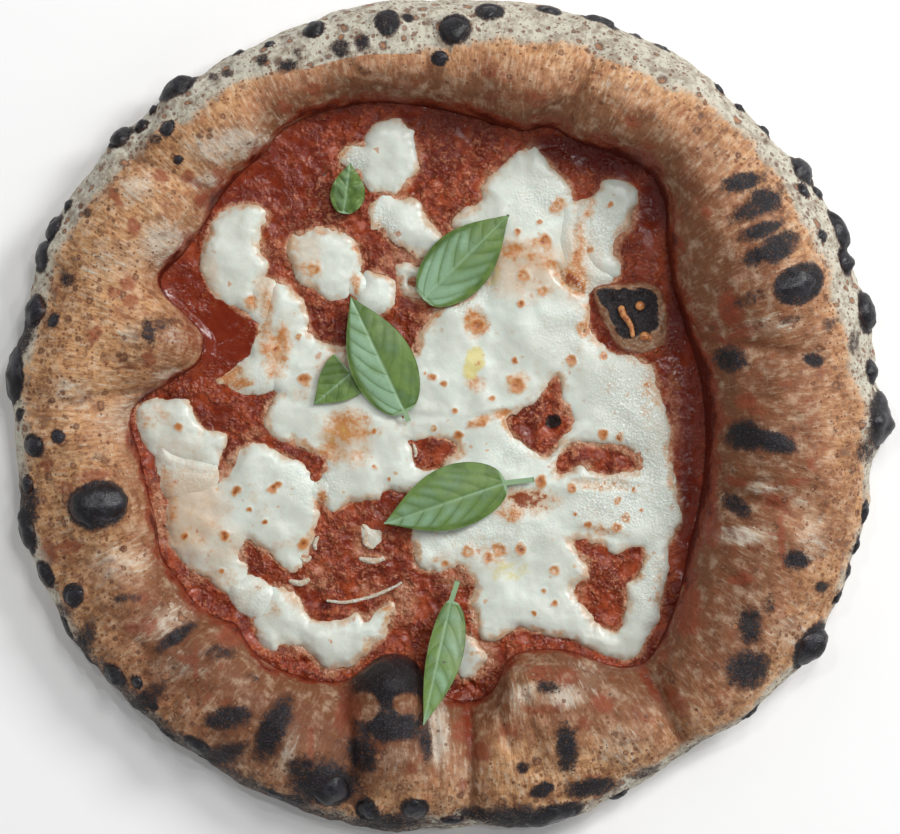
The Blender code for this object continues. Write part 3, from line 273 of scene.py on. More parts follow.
# Outlines of the melted mozzarella, one for each piece, with the windows that show the sauce.
CHEESE = {
    "mozzarella_top": [(-31, 98), (-30, 101), (-27, 105), (-22, 106.5), (-17, 105.5), (-14, 102), (-13, 96),
        (-12.5, 89), (-15, 84), (-19, 81), (-24, 80), (-28, 81), (-30, 84), (-34, 88), (-38.5, 90),
        (-39.5, 94), (-36, 97.5)],
    "mozzarella_left": [(-73, 76.5), (-68, 75.5), (-65, 73), (-65.5, 70), (-68.5, 67), (-68, 61),
        (-66.5, 55), (-67.5, 49), (-69, 43), (-70, 36.5), (-75, 38.5), (-81, 42), (-87, 45.5), (-88.5, 51),
        (-88, 58), (-87.5, 65), (-86, 70), (-81, 74)],
    "mozzarella_round": [(-56, 66), (-50, 67.5), (-44, 68), (-38, 66), (-33.5, 62), (-31.5, 56),
        (-33, 50.5), (-36, 45), (-40, 42.5), (-45, 43), (-50, 47), (-54, 51), (-57, 57), (-58, 62)],
    "mozzarella_upper_middle": [(-29, 76), (-22, 78.5), (-15, 78), (-11, 75.5), (-9, 71), (-6, 67),
        (-2, 63), (-3, 59), (-8, 57.5), (-12, 57.5), (-16, 60), (-21, 63), (-25, 67), (-29, 70)],
    "mozzarella_small": [(-30.5, 50), (-27, 52), (-23, 50.5), (-20.5, 46), (-20.5, 41), (-23, 37),
        (-28, 36), (-32.5, 39), (-33.5, 43.5)],
    "mozzarella_curl": [(-18.5, 52), (-15, 54.5), (-10, 54.5), (-6, 51), (-5, 46), (-8, 42.5), (-12, 42),
        (-16.5, 44), (-18.5, 48)],
    "mozzarella_right": [(55, 84), (60, 84.5), (65, 83), (67, 79), (66, 74), (64, 69), (60, 63), (58, 59),
        (60.5, 55), (60, 50.5), (57, 49.5), (52, 50.5), (48.5, 52.5), (46, 57), (47, 62), (46.5, 68),
        (48, 74), (52, 78)],
    "mozzarella_centre": [(29.5, 97.5), (33, 94.5), (36, 91), (39, 87), (42.5, 83), (43.5, 77), (43, 71),
        (41.5, 66), (43.5, 61), (43.5, 55), (45.5, 50), (48.5, 44), (49.5, 38), (50.5, 31), (54, 25.5),
        (60, 22.5), (67, 21), (72, 18.5), (74, 13), (75.5, 6), (78, -2), (78.5, -10), (79.5, -20),
        (81.5, -28), (82, -37), (78, -46), (77, -56), (75.5, -64), (73, -74), (70, -80), (68, -84.5),
        (63, -87), (56, -84.5), (50, -82.5), (45, -80), (39, -79), (32, -77.5), (25, -75), (20, -77),
        (15, -80), (11, -77), (8, -70), (7, -65), (10, -61), (8, -57), (2, -53), (-5, -55), (-12, -53),
        (-13, -46), (-12, -38), (-12, -30), (-20, -25), (-27, -28.5), (-34, -30.5), (-40, -33),
        (-44.5, -33), (-46, -27), (-46, -20), (-44, -16), (-50, -11), (-57, -8.5), (-63, -6), (-66, -1),
        (-65, 4), (-61, 9), (-66, 11), (-72, 10.5), (-78, 13), (-76, 18), (-71, 22), (-69, 28), (-67.5, 34),
        (-65.5, 42), (-63.5, 48), (-59.5, 48), (-55.5, 43.5), (-52, 38), (-50.5, 31), (-47, 26.5),
        (-40, 25), (-30, 24), (-22, 24), (-14, 24), (-10, 31), (-6, 37), (1, 41), (9, 45), (15, 52),
        (14, 59), (6, 64), (1, 68.5), (4, 73.5), (10, 75), (13, 78), (12, 82), (15, 86), (20, 89),
        (25, 94)],
    "mozzarella_west": [(-112, 4), (-106, 6), (-98, 6), (-93, 4), (-91, 0), (-89, -4), (-85, -6),
        (-80.5, -7), (-82, -12), (-84, -17), (-89, -19), (-95, -16), (-103, -14.5), (-107.5, -11),
        (-110.5, -6), (-112.5, -1)],
    "mozzarella_southwest": [(-100, -23.5), (-95, -20.5), (-88, -22), (-84, -24), (-80, -18), (-76, -12),
        (-70, -9.5), (-64, -12), (-57, -15), (-51.5, -20), (-48, -25), (-47.5, -32), (-49, -40), (-50, -46),
        (-53, -52), (-58, -55), (-63, -51), (-68, -47), (-72, -44), (-75, -48), (-74, -54), (-72, -59.5),
        (-76, -63), (-81, -62), (-86, -58), (-92, -55), (-96, -50), (-100, -45), (-101.5, -38),
        (-101, -30)],
    "mozzarella_south": [(-67, -62.5), (-63, -61), (-58, -62), (-54, -68), (-50, -73), (-44, -74),
        (-38, -73), (-34, -70), (-30, -72), (-26, -70), (-22, -67), (-20, -70), (-22, -76), (-24, -79.5),
        (-29, -82), (-34, -87), (-39, -89), (-43, -91), (-47, -88), (-50, -84), (-55, -82), (-60, -81),
        (-64, -83.5), (-67.5, -81), (-69, -75), (-71.5, -69), (-70, -65)],
    "mozzarella_by_leaf": [(4, -77), (8, -79), (11, -83), (12.5, -87), (10, -91), (5, -93), (2, -91),
        (1, -85)],
}

WINDOWS = {
    "mozzarella_curl": [[(-15.5, 50), (-12, 50.3), (-10.5, 48), (-12, 45.8), (-15.5, 46.5)]],
    "mozzarella_centre": [[(22, 1.5), (27, 4), (31, 7), (34, 12), (38, 15), (41, 12), (41, 6), (44, 0),
        (44, -4), (40, -8), (37, -11.5), (33, -14), (29, -12), (24.5, -9), (21, -4)], [(38.5, -14),
        (42, -10), (48, -9), (55, -9.5), (61, -10), (66, -13), (69, -18), (64, -20.5), (58, -22), (52, -21),
        (48, -17), (44, -19), (40, -21), (37, -18)], [(-15, -8), (-9, -7.5), (-2, -8), (3, -9), (2, -13),
        (-1, -15), (-3, -18), (-8, -19), (-12.5, -18), (-14, -13)], [(44, -43), (48, -42), (51, -45),
        (56, -46), (59, -48), (64, -45.5), (69, -46), (69.5, -52), (67, -57), (63, -62), (63, -69),
        (62, -75), (58, -77), (52, -75), (49, -70), (44.5, -66), (44, -60), (49, -57), (49, -52),
        (44, -48)]],
}

# How wide a piece's soft edge is, as a share of the usual one, where it is crisper.
CRISP = {"mozzarella_top": 0.35, "mozzarella_left": 0.4, "mozzarella_upper_middle": 0.6}

# Outlines of the thin cheese that joins the pieces over the sauce.
FILM_SHEETS = [
    [(-107, -6), (-100, -8), (-92, -12), (-86, -12), (-83, -18), (-84, -26), (-90, -30), (-98, -30),
     (-104, -28), (-106, -18)],
    [(-54, -23), (-47, -21.5), (-40, -22), (-40, -32), (-47, -31.5), (-54, -30)],
    [(-84, 13), (-78, 8.5), (-72, 6.5), (-66, 7), (-60, 12), (-60, 22), (-68, 25), (-76, 20)],
    [(38, 78), (45, 77), (52, 79), (54, 70), (53, 60), (57, 54), (60, 50), (56, 45), (48, 42), (42, 44),
     (37, 53), (37, 62), (38, 72)],
    [(-32, -38.5), (-28, -37.5), (-23, -40), (-23.5, -45), (-28.5, -47), (-31.5, -43.5)],
    [(-32.5, -50), (-28, -49.2), (-23, -49.8), (-23.5, -52.6), (-28, -53.2), (-32.5, -52.4)],
    [(-74, 48), (-66, 51), (-60, 47), (-60, 38), (-64, 32), (-72, 35), (-74, 41)],
    [(-80, -58), (-73, -56), (-64, -60), (-62, -68), (-68, -74), (-75, -70), (-79, -64)],
    [(-40, 52), (-34, 53), (-28, 50), (-28, 44), (-34, 41), (-39, 45)],
]

# Orange fat and tomato that stain the cheese, as ovals.
STAIN_MARKS = [
    (-82, 15, 10, 4.2, 1, 14), (-65, 27, 4.5, 11, 0.75, 8), (-63, 20, 5, 7, 0.8),
    (-71.2, 40.5, 3.4, 3, 0.7), (-66, 38, 3, 8, 0.7, 8), (-78, 12, 8, 3, 0.9, 10), (-57.5, 62, 3, 6, 0.8),
    (-37, -4, 9, 7, 0.85), (-42, -12, 6, 5, 0.8), (-33, -14, 6, 4, 0.6), (-46, -31, 3, 6, 0.8),
    (-45, 74, 5.5, 5, 0.8), (-50, 53, 5, 4, 0.55), (-56, 58, 2.6, 8, 0.7), (-41, 18, 6, 7, 0.6),
    (10.7, -1.6, 6, 2, 0.9, 24), (45, 50, 6, 6, 1, -20), (47, 62, 3, 9, 0.8), (-34, 47, 2, 4.4),
    (33, 56, 9, 3, 0.8, -24), (36.5, 9.5, 3, 6, 0.6, -20), (-60, 26, 3.4, 8, 0.9), (19, 1.2, 5, 2, 0.9),
    (9, 34, 4.6, 5.6), (9, 12, 4.4, 3.4, 0.75), (21.8, 60, 7, 3.4, 0.85, 6), (31, 61.5, 7, 2.4, 0.7, -10),
    (27, 55, 14, 8, 0.38), (45, 54.5, 4.5, 5.5, 0.85, 40), (43, 48.5, 8, 4, 0.9, -40),
    (50, 74, 2.6, 6, 0.7, -14), (39, 75, 2.8, 4.4, 0.75, -28), (35, 45, 3, 2.6, 0.4), (17, 51, 2.6, 7, 0.4),
    (25.7, 46, 1.8, 4, 0.5), (48, 31.2, 4.5, 3, 0.55, -20), (24, 13, 5, 4.4, 0.6), (27, -30, 13, 5.4, 0.8),
    (22, -34, 6, 4, 0.8), (50, -24, 8, 2.4, 0.7, -8), (60, -24, 7, 2.4, 0.6), (5, -44, 12, 4, 0.35, -10),
    (-2, -52, 7, 3, 0.5), (14, -49, 10, 3.4, 0.5), (55, -41, 9, 2.4, 0.6, -8), (-15, -4, 12, 3, 0.4),
    (-10, -26, 9, 3, 0.5), (-83, -58, 12, 4, 0.5, 15), (-100, -30, 3, 14, 0.7, 8), (-106, 0, 7, 6, 0.45),
    (-92, -40, 14, 12, 0.34), (-68, -30, 4, 12, 0.3, 30), (-75, -78, 6, 8, 0.5), (70, 10, 3, 14, 0.45),
    (80, -14, 3, 20, 0.6), (76, -66, 3, 16, 0.5, 8), (-28, 70, 4, 6, 0.4, 20), (-14, 81, 8, 2.4, 0.6, 16),
    (-52, 10, 6, 5, 0.4), (57, 14, 3.4, 5, 0.35), (-18, -68, 3, 4, 0.6), (8, -84, 3, 6, 0.5),
    (-4, -8, 10, 2.6, 0.5), (32, 20, 3, 8, 0.2, 20), (-60, -48, 10, 5, 0.35, 20), (-34, 30, 10, 4, 0.35),
    (-8, 36, 6, 6, 0.35, 30), (-64, -68, 4, 6, 0.4),
]

# Browned spots on the cheese: middle x and y, half-width, and 1 for a ring with a paler middle.
CHEESE_SPOTS = [
    (34, 63, 2.5), (26.5, 50.5, 2.1, 1), (25.5, 40.5, 1.3), (33, 45, 1.6, 1), (43.5, 20.5, 1.7),
    (24, 12, 2.8), (21.5, 13.4, 1.4, 1), (15, 6.5, 1), (48, 31.3, 2.4, 1), (53, 28.5, 1.3), (38, 75, 2, 1),
    (39.6, 77, 1.6, 1), (57.5, 76, 1), (54.9, -6.3, 1.9), (60.6, -7.3, 1.4), (43.7, -25.3, 1.5),
    (44.7, -34.5, 1), (49.3, -38.7, 1.3), (59.5, -39.4, 1.8), (62.8, -35.9, 1.5, 1), (68.7, -33.4, 0.9),
    (17.6, -47.2, 2.2, 1), (13.7, -50.7, 1.8), (6.6, -48.2, 2, 1), (-2.2, -52.5, 1.3), (37.3, -66.9, 1.2),
    (33.8, -62, 0.9), (37.3, -55, 1.8, 1), (25, -47.5, 2), (32.4, -22.9, 2), (-76.6, -26.5, 1.5),
    (-63.6, -25.8, 1.7), (-61.6, -24.2, 1.2), (-80.5, -42.3, 1.8), (-66.3, -37.6, 0.8), (-95, -42.3, 1.3),
    (-52.5, -45.5, 1.9), (-82, -55.7, 1), (-97, -4, 1.4), (-95, -19.5, 2.4), (-88.8, -19, 1.3),
    (-6, -4, 1.2, 1), (-22, -22.6, 0.8), (-27, -17.9, 0.8), (-27.3, -5.3, 1), (-71, 41.5, 1.7, 1),
    (-52, 13.5, 2.3), (-54, 28.5, 1.1, 1), (-48.8, 53, 2, 1), (-33.8, 60, 1.5), (-6.2, 14.2, 1.5),
    (-2.4, 12.2, 1.3), (-22, 38, 1.1, 1), (3, -6.8, 1.6), (9.5, 33, 2.4), (-62, 24, 1.6), (23, 20.5, 1.1),
    (2, 2.4, 1), (12, -2, 1.4), (-44, 37, 0.9), (60, -30, 1.1, 1), (30, -70, 0.9), (24, 66, 1.1),
    (32, 70, 0.9), (46, 66, 1.2), (50, 60, 1.3), (-9, 15.4, 0.9), (55, 22, 1.2), (70, 12, 0.9),
    (66, -26, 0.8), (-72, -33, 0.9),
]

# Oil on the cheese, cream-coloured cheese, wet cheese that is glossier and has painted glints, and thin
# cheese that the sauce shows through, as ovals.
OIL_MARKS = [
    (9, 20.5, 3.6, 4.6), (7.2, 16.6, 3, 3.4, 0.9), (22, -55, 8, 4, 0.6, 10), (15.8, 50, 2.4, 4.4, 0.6),
    (-40, -6, 8, 5, 0.3), (-36, 12, 4, 4, 0.4), (42, 58, 6, 4, 0.3, 30),
]
CREAM_MARKS = [
    (-95, -34, 16, 18, 1.1), (-84, -46, 14, 12, 0.7), (-97, -14, 14, 10, 0.6), (-86, 50, 3.6, 14, 0.7),
    (-66, 44, 5, 10, 0.9), (-60, 30, 10, 16, 0.4), (26, 53, 18, 12, 0.95), (46, 55, 9, 18, 0.8),
    (-105, 0, 8, 8, 0.6), (12, -50, 18, 8, 0.5), (-52, 60, 8, 9, 0.7), (18, -28, 22, 8, 0.4),
    (74, 2, 6, 22, 0.5), (-40, 14, 9, 10, 0.8), (48, 22, 14, 9, 0.4, 30), (-20, 70, 6, 8, 0.3),
    (-84, -54, 14, 8, 0.4), (50, -36, 14, 6, 0.4), (4, -6, 20, 6, 0.35), (30, 88, 6, 8, 0.3),
    (-60, -74, 12, 8, 0.3), (-37, -7, 12, 12, 0.8),
]
WET_MARKS = [
    (67, 4, 12, 18, 1, 20), (72, -14, 8, 12), (60, -30, 14, 10, 0.9), (77, -34, 6, 10, 0.9),
    (52, 46, 6, 7, 0.6), (55, 66, 6, 8, 0.8), (32, 78, 8, 8, 0.6), (72, -60, 5, 16, 0.6),
    (44, 30, 14, 10, 0.35), (22, -12, 8, 6, 0.4), (-34, 92, 4, 6, 0.8), (-22, 68, 4, 8, 0.7, 20),
    (10, -40, 26, 10, 0.35), (-48, -22, 10, 8, 0.4), (-20, -80, 8, 5, 0.4), (6, 44, 8, 5, 0.7, 30),
]
THIN_MARKS = [
    (28, -30, 11, 4.6), (43, 49, 7, 2.6, 1, -38), (-41, 19, 4, 4, 0.6), (-44, -12, 5, 4, 0.5),
    (9, 33, 3.6, 4.6, 0.5), (-83, 15, 7, 2, 0.6, 14), (-62, 24, 2.4, 5, 0.4), (20, 60, 6, 2, 0.4),
    (-68, -8, 5, 2, 0.6, 20), (-46, -32, 2, 4, 0.7), (54, -24, 12, 1.8, 0.7, -4), (17, 1, 8, 1.4, 0.5, 10),
    (-78, -16, 2.6, 8, 0.8, -30), (-14, 0, 10, 1.6, 0.3), (52, -42, 8, 2, 0.5, -8), (45, 60, 1.8, 5, 0.6),
]

# Strands of cheese that cross the sauce: their points, and half-width.
STRANDS = [
    ([(35, -15.5), (38, -12.8), (40.5, -10.2), (44.5, -7.3)], 0.9),
    ([(-43.8, -65.8), (-38, -66.4), (-31, -65.2), (-25, -63.2), (-19.5, -60.6), (-17, -59)], 0.75),
    ([(-31, -39), (-29.5, -42), (-30.5, -45), (-27.5, -47)], 1),
    ([(-32, -50.8), (-27, -51.6), (-23.5, -50.4)], 1.2),
    ([(-57, -58.8), (-53.5, -59.6), (-50, -57.8)], 1.2), ([(-47.2, -43), (-48.4, -45.4), (-48, -48)], 0.9),
    ([(77, -17), (80.5, -22), (79.5, -28), (80, -33)], 0.6),
    ([(-13, -10), (-12.2, -13), (-12.8, -15)], 0.7), ([(-54.4, -50), (-51.4, -51.6), (-49.6, -49.2)], 0.9),
]

# Dark smooth pools of sauce, places where lumps of tomato stand out, places where a film of
# cheese lies over the sauce, and painted shadow by the rim's foot and beside the toppings, as ovals.
POOL_MARKS = [
    (-82, 30, 14, 16), (-96, 46, 8, 8, 0.9), (-70, 84, 14, 16, 0.6, 20), (-56, 92, 12, 14, 0.5),
    (84, 20, 6, 40, 0.6), (86, -30, 5, 40, 0.5), (-100, 44, 8, 8, 0.8), (72, 70, 7, 20, 0.5),
]
LUMP_MARKS = [
    (-34, -50, 20, 20), (6, 86, 18, 22), (-4, 98, 18, 10), (-46, 82, 12, 16, 0.9), (-68, 72, 10, 14, 0.6),
    (46, 88, 10, 10, 0.6), (52, -60, 16, 18, 0.9), (32, 0, 14, 14, 0.8), (54, -15, 18, 8, 0.8),
    (-40, 88, 10, 10, 0.6), (-7, -13, 12, 8, 0.8), (-48, 30, 8, 14, 0.6), (-20, 34, 12, 14, 0.7),
    (-26, 56, 8, 12, 0.6), (-78, -14, 14, 10, 0.5), (78, 52, 6, 30, 0.4), (24, -84, 20, 6, 0.5),
    (-16, -60, 10, 16, 0.6), (0, -66, 10, 8, 0.5),
]
FILM_MARKS = [
    (47, 71, 9.5, 3.6, 0.9, 52), (-94, -14, 10, 4, 0.9, 8), (-102, -18, 4, 6, 0.8), (-52, 18, 4, 8, 0.8),
    (-68, 52, 3, 9, 0.8), (-45, 56, 17, 17, 0.62), (-20, 57, 7, 4, 0.7, 20), (-8, 36, 6, 4, 0.6, 30),
    (-27, -62, 9, 5, 0.6), (-47, -58, 7, 6, 0.6), (2, -58, 9, 4, 0.75), (-16, -66, 5, 9, 0.75),
    (13, -85, 4, 9, 0.8, 10), (46, -62, 4, 10, 0.65), (-28, 85, 5, 5, 0.5), (-70, -6, 8, 3, 0.5, 20),
    (-86, -56, 12, 3, 0.7, 20), (-104, -34, 3, 14, 0.8, 5), (-32, -45, 4, 8, 0.7), (-27, -50, 7, 2.4, 0.7),
    (58, 20, 14, 3, 0.6, 20), (80, 4, 3, 22, 0.55), (-62, 60, 3, 8, 0.5), (-60, -84, 12, 3, 0.5),
    (-18, 78, 9, 3, 0.5, 10), (0, -48, 12, 4, 0.6), (46, 40, 3, 8, 0.5), (-48, 4, 8, 4, 0.4),
]
SHADE_MARKS = [
    (82, 40, 6, 30, 0.7), (88, 4, 6, 36, 0.62), (86, -36, 5, 34, 0.65), (0, 106, 34, 6, 0.6),
    (50, 94, 26, 6, 0.9, -12), (82, -70, 6, 14, 0.7), (-44.7, -67.6, 3, 2, 0.9), (-15, 40, 4, 3, 0.5),
    (74, 78, 7, 12, 0.8), (-38, 28, 6, 3, 0.6), (37, -2, 2.6, 2.8),
]

# Where the sauce has burnt to brown-black crumbs.
SAUCE_CHAR = [(37, -1.5, 3, 2.6), (-44, 88, 3.5, 3, 0.45), (-24, 52, 2, 2, 0.3)]


def colour(red: float, green: float, blue: float) -> Colour:
    """The linear colour of a display colour.

    Args:
        red, green, blue: The display colour's parts, 0 to 255.

    Returns:
        The parts, shifted by 0.055 and raised to the display's power of 2.4, and an alpha of 1.
    """
    parts = (np.array([red, green, blue]) / 255 + 0.055) / 1.055
    return (*(float(part) ** 2.4 for part in parts), 1)


def ease(low: float, high: float, value: Array) -> Array:
    """0 at low and past it, 1 at high, and between them the share squared times 3 less twice the share."""
    share = np.clip((value - low) / (high - low), 0, 1)
    return share * share * (3 - 2 * share)


def along_line(x: Array, y: Array, start: tuple, end: tuple) -> Array:
    """The distance of each place from the straight line between two points, in plan.

    Args:
        x, y: The places in plan.
        start, end: The line's two ends.

    Returns:
        The length from each place to the point at the clipped share of the way along the line.
    """
    (ax, ay), (bx, by) = start, end
    length = max((bx - ax) ** 2 + (by - ay) ** 2, 1e-9)
    share = np.clip(((x - ax) * (bx - ax) + (y - ay) * (by - ay)) / length, 0, 1)
    return np.hypot(x - ax - share * (bx - ax), y - ay - share * (by - ay))


class Oval(NamedTuple):
    """An oval mark: its middle, half-sizes, strength, and turn in degrees."""

    x: float
    y: float
    half_length: float
    half_width: float
    strength: float = 1
    turn: float = 0


def ovals(x: Array, y: Array, marks: list, softness: float = 0.5) -> Array:
    """How strongly a set of oval marks covers each place.

    Args:
        x, y: The places in plan.
        marks: The numbers of each oval.
        softness: How wide the soft edge is, as a share of the mark's half-width.

    Returns:
        The greatest over the marks of strength times an even fall from 1 inside to 0 outside.
    """
    found = np.zeros_like(x)
    for oval in (Oval(*mark) for mark in marks):
        cosine, sine = math.cos(math.radians(oval.turn)), math.sin(math.radians(oval.turn))
        across, up = x - oval.x, y - oval.y
        distance = np.hypot((across * cosine + up * sine) / oval.half_length,
                            (up * cosine - across * sine) / oval.half_width)
        found = np.maximum(found, oval.strength * (1 - ease(1 - softness, 1 + softness, distance)))
    return found


class Turn(Enum):
    """Whether a curve, or a grid from its last column to its first, closes on itself."""

    OPEN = 0
    CLOSED = 1


def smooth_loop(points: list, pitch: float, turn: Turn = Turn.CLOSED) -> Array:
    """Points at about that pitch on a smooth curve through the given ones.

    Args:
        points: The curve's points, in order.
        pitch: The wanted distance between the points made.
        turn: Whether the curve returns to its first point.

    Returns:
        An array of rows x, y, without an open curve's last point. Each stretch is a cubic that
        leaves and arrives in line with the points beside it.
    """
    given = np.array(points, float)
    if turn is Turn.OPEN:
        padded = np.concatenate([given[:1], given, given[-1:]])
        sets = [padded[:-3], padded[1:-2], padded[2:-1], padded[3:]]
    else:
        sets = [np.roll(given, shift, axis=0) for shift in (1, 0, -1, -2)]
    made = []
    for before, start, end, after in zip(*sets):
        steps = max(1, round(np.linalg.norm(end - start) / pitch))
        share = (np.arange(steps) / steps)[:, None]
        made.append(0.5 * (
            2 * start + (end - before) * share + (2 * before - 5 * start + 4 * end - after) * share**2
            + (3 * start - before - 3 * end + after) * share**3
        ))
    return np.concatenate(made)


def depth_inside(loop: Array, x: Array, y: Array) -> Array:
    """How deep each place lies inside a closed loop.

    Args:
        loop: The loop's points as rows of x, y.
        x, y: The places in plan.

    Returns:
        The distance to the nearest side, less than 0 where a line to the right of the place
        crosses the loop an even number of times.
    """
    nearest = np.full(x.shape, np.inf)
    inside = np.zeros(x.shape, bool)
    for (ax, ay), (bx, by) in zip(loop, np.roll(loop, -1, axis=0)):
        nearest = np.minimum(nearest, along_line(x, y, (ax, ay), (bx, by)))
        if by != ay:
            inside ^= ((ay > y) != (by > y)) & (x < (bx - ax) * (y - ay) / (by - ay) + ax)
    return np.where(inside, nearest, -nearest)


def inside_cheese(node: str, x: Array, y: Array, pitch: float) -> Array:
    """How deep each place lies inside a cheese's outline and outside its windows.

    Args:
        node: The cheese's name in the tables.
        x, y: The places in plan.
        pitch: The distance between the points that the outlines are read at.

    Returns:
        The least of the depth in the outline and the distances from the windows.
    """
    found = depth_inside(smooth_loop(CHEESE[node], pitch), x, y)
    for window in WINDOWS.get(node, []):
        found = np.minimum(found, -depth_inside(smooth_loop(window, pitch), x, y))
    return found


def film_depth(x: Array, y: Array) -> Array:
    """How deep each place lies inside the sheets of thin cheese, less than 0 outside them."""
    return np.max([depth_inside(smooth_loop(outline, 2.5), x, y) for outline in FILM_SHEETS], axis=0)


@dataclass
class Grain:
    """Smooth seeded noise in space, read from a cube of random values that repeats."""

    seed: int
    side: int = 64
    table: Array = field(init=False)

    def __post_init__(self) -> None:
        """Draws the cube of values."""
        self.table = np.random.default_rng(self.seed).uniform(-1, 1, (self.side,) * 3)

    def at(self, points: Array, size: float) -> Array:
        """Noise from -1 to 1 whose features are about that size.

        Args:
            points: Rows of x, y, z.
            size: The length of one cell of the cube.

        Returns:
            The eight corner values of the cell round each point, mixed by smoothed shares.
        """
        place = points / size
        cell = np.floor(place).astype(int)
        share = place - cell
        share = share * share * (3 - 2 * share)
        total = np.zeros(len(points))
        for corner in np.ndindex(2, 2, 2):
            weight = np.prod(np.where(np.array(corner, bool), share, 1 - share), axis=1)
            total += weight * self.table[tuple(((cell + corner) % self.side).T)]
        return total

    def layers(self, points: Array, size: float, count: int = 3) -> Array:
        """Noise of several sizes, each half as large and half as strong as the one before."""
        return sum(self.at(points + 7.3 * step, size / 2**step) / 2**step for step in range(count))


def plan_points(x: Array, y: Array, z: float = 0.0) -> Array:
    """Rows of x, y and one height."""
    return np.stack([x.ravel(), y.ravel(), np.full(x.size, float(z))], axis=1)


@dataclass
class Round:
    """A length that varies with the direction from the pizza's middle, with its corners rounded."""

    pairs: list[tuple[float, float]]
    spread: float = 2.0
    directions: Array = field(init=False)
    lengths: Array = field(init=False)

    def __post_init__(self) -> None:
        """Reads the pairs every half degree and takes a bell-weighted mean over the spread."""
        step = 0.5
        self.directions = np.arange(0, 360, step)
        given, values = zip(*sorted(self.pairs))
        straight = np.interp(self.directions, given, values, period=360)
        reach = np.arange(-int(3 * self.spread / step), int(3 * self.spread / step) + 1)
        weights = np.exp(-0.5 * (reach * step / self.spread) ** 2)
        shifted = [weight * np.roll(straight, shift) for weight, shift in zip(weights, reach)]
        self.lengths = np.sum(shifted, axis=0) / weights.sum()

    def at(self, angle: Array) -> Array:
        """The length at an angle in degrees."""
        return np.interp(np.mod(angle, 360), self.directions, self.lengths, period=360)


def grid_faces(rows: int, columns: int, turn: Turn = Turn.OPEN, start: int = 0) -> Array:
    """Four-sided faces between the neighbours of a grid of points.

    Args:
        rows, columns: The grid's size, with its points numbered along each row in turn.
        turn: Whether the last column joins the first.
        start: The first point's number.

    Returns:
        Rows of four point numbers, which face up where the rows run out and the columns turn left.
    """
    number = start + np.arange(rows * columns).reshape(rows, columns)
    if turn is Turn.CLOSED:
        number = np.concatenate([number, number[:, :1]], axis=1)
    near, far = number[:-1], number[1:]
    return np.stack([near[:, :-1], far[:, :-1], far[:, 1:], near[:, 1:]], axis=-1).reshape(-1, 4)


def fan_faces(middle: int, ring: Array, upward: bool) -> Array:
    """Three-sided faces from a middle point to a ring of points that turns left.

    Args:
        middle: The middle point's number.
        ring: The numbers of the ring's points.
        upward: Whether the faces look up.

    Returns:
        Rows of three point numbers.
    """
    following = np.roll(ring, -1)
    near, far = (ring, following) if upward else (following, ring)
    return np.stack([np.full(len(ring), middle), near, far], axis=1)


def closed_rings(rings: Array, top: float, bottom: float, middle: tuple = (0.0, 0.0)) -> tuple[Array, list]:
    """A closed body from rings of points round a middle, with a wall down to a flat base.

    Args:
        rings: A grid of points with one ring in each row, from the innermost to the outermost.
        top: The height over the middle.
        bottom: The height of the base.
        middle: The middle in plan.

    Returns:
        The points, which are the rings, the two middles and the base's ring, and the faces.
    """
    rows, columns = rings.shape[:2]
    count, number = rows * columns, np.arange(columns)
    outer, low = count - columns + number, count + 2 + number
    base = rings[-1] * (1, 1, 0) + (0, 0, bottom)
    wall = np.stack([outer, low, np.roll(low, -1), np.roll(outer, -1)], axis=1)
    points = np.concatenate([rings.reshape(-1, 3), [(*middle, top), (*middle, bottom)], base])
    return points, [grid_faces(rows, columns, Turn.CLOSED), fan_faces(count, number, True), wall,
                    fan_faces(count + 1, low, False)]


def build_mesh(name: str, points: Array, faces: list, values: dict[str, Array]) -> Mesh:
    """A smooth mesh with one number or one place for each point under each name.

    Args:
        name: The mesh's name.
        points: Rows of x, y, z in millimetres.
        faces: Arrays of faces, each with one number of corners.
        values: The named numbers that the finishes read, or rows of three for places in metres.

    Returns:
        The mesh.
    """
    mesh = bpy.data.meshes.new(name)
    mesh.from_pydata((points * MM).tolist(), [], [face for part in faces for face in part.tolist()])
    mesh.shade_smooth()
    for label, numbers in values.items():
        kind, field_name = ("FLOAT", "value") if np.ndim(numbers) == 1 else ("FLOAT_VECTOR", "vector")
        attribute = mesh.attributes.new(label, kind, "POINT")
        attribute.data.foreach_set(field_name, np.ascontiguousarray(numbers, np.float32).ravel())
    mesh.update()
    return mesh


@dataclass(frozen=True)
class Signal:
    """A material node's output, which can be added, taken away and multiplied like a number."""

    socket: bpy.types.NodeSocket

    def math(self, operation: str, first: object, second: object) -> "Signal":
        """One step of arithmetic.

        Args:
            operation: The name of the step.
            first, second: Two signals, or a signal and a number.

        Returns:
            The result.
        """
        node = self.socket.id_data.nodes.new("ShaderNodeMath")
        node.operation = operation
        join(first, node.inputs[0])
        join(second, node.inputs[1])
        return Signal(node.outputs[0])

    def __add__(self, other: object) -> "Signal":
        """The sum."""
        return self.math("ADD", self, other)

    def __sub__(self, other: object) -> "Signal":
        """This less the other."""
        return self.math("SUBTRACT", self, other)

    def __rsub__(self, other: float) -> "Signal":
        """The other less this."""
        return self.math("SUBTRACT", other, self)

    def __mul__(self, other: object) -> "Signal":
        """The product."""
        return self.math("MULTIPLY", self, other)

    def greater(self, other: object) -> "Signal":
        """The greater of the two."""
        return self.math("MAXIMUM", self, other)


def join(source: object, socket: bpy.types.NodeSocket) -> None:
    """Links a signal to a socket, or sets the socket to a plain value.

    Args:
        source: The signal or the value.
        socket: Where it goes.
    """
    if isinstance(source, Signal):
        socket.id_data.links.new(source.socket, socket)
    else:
        socket.default_value = source


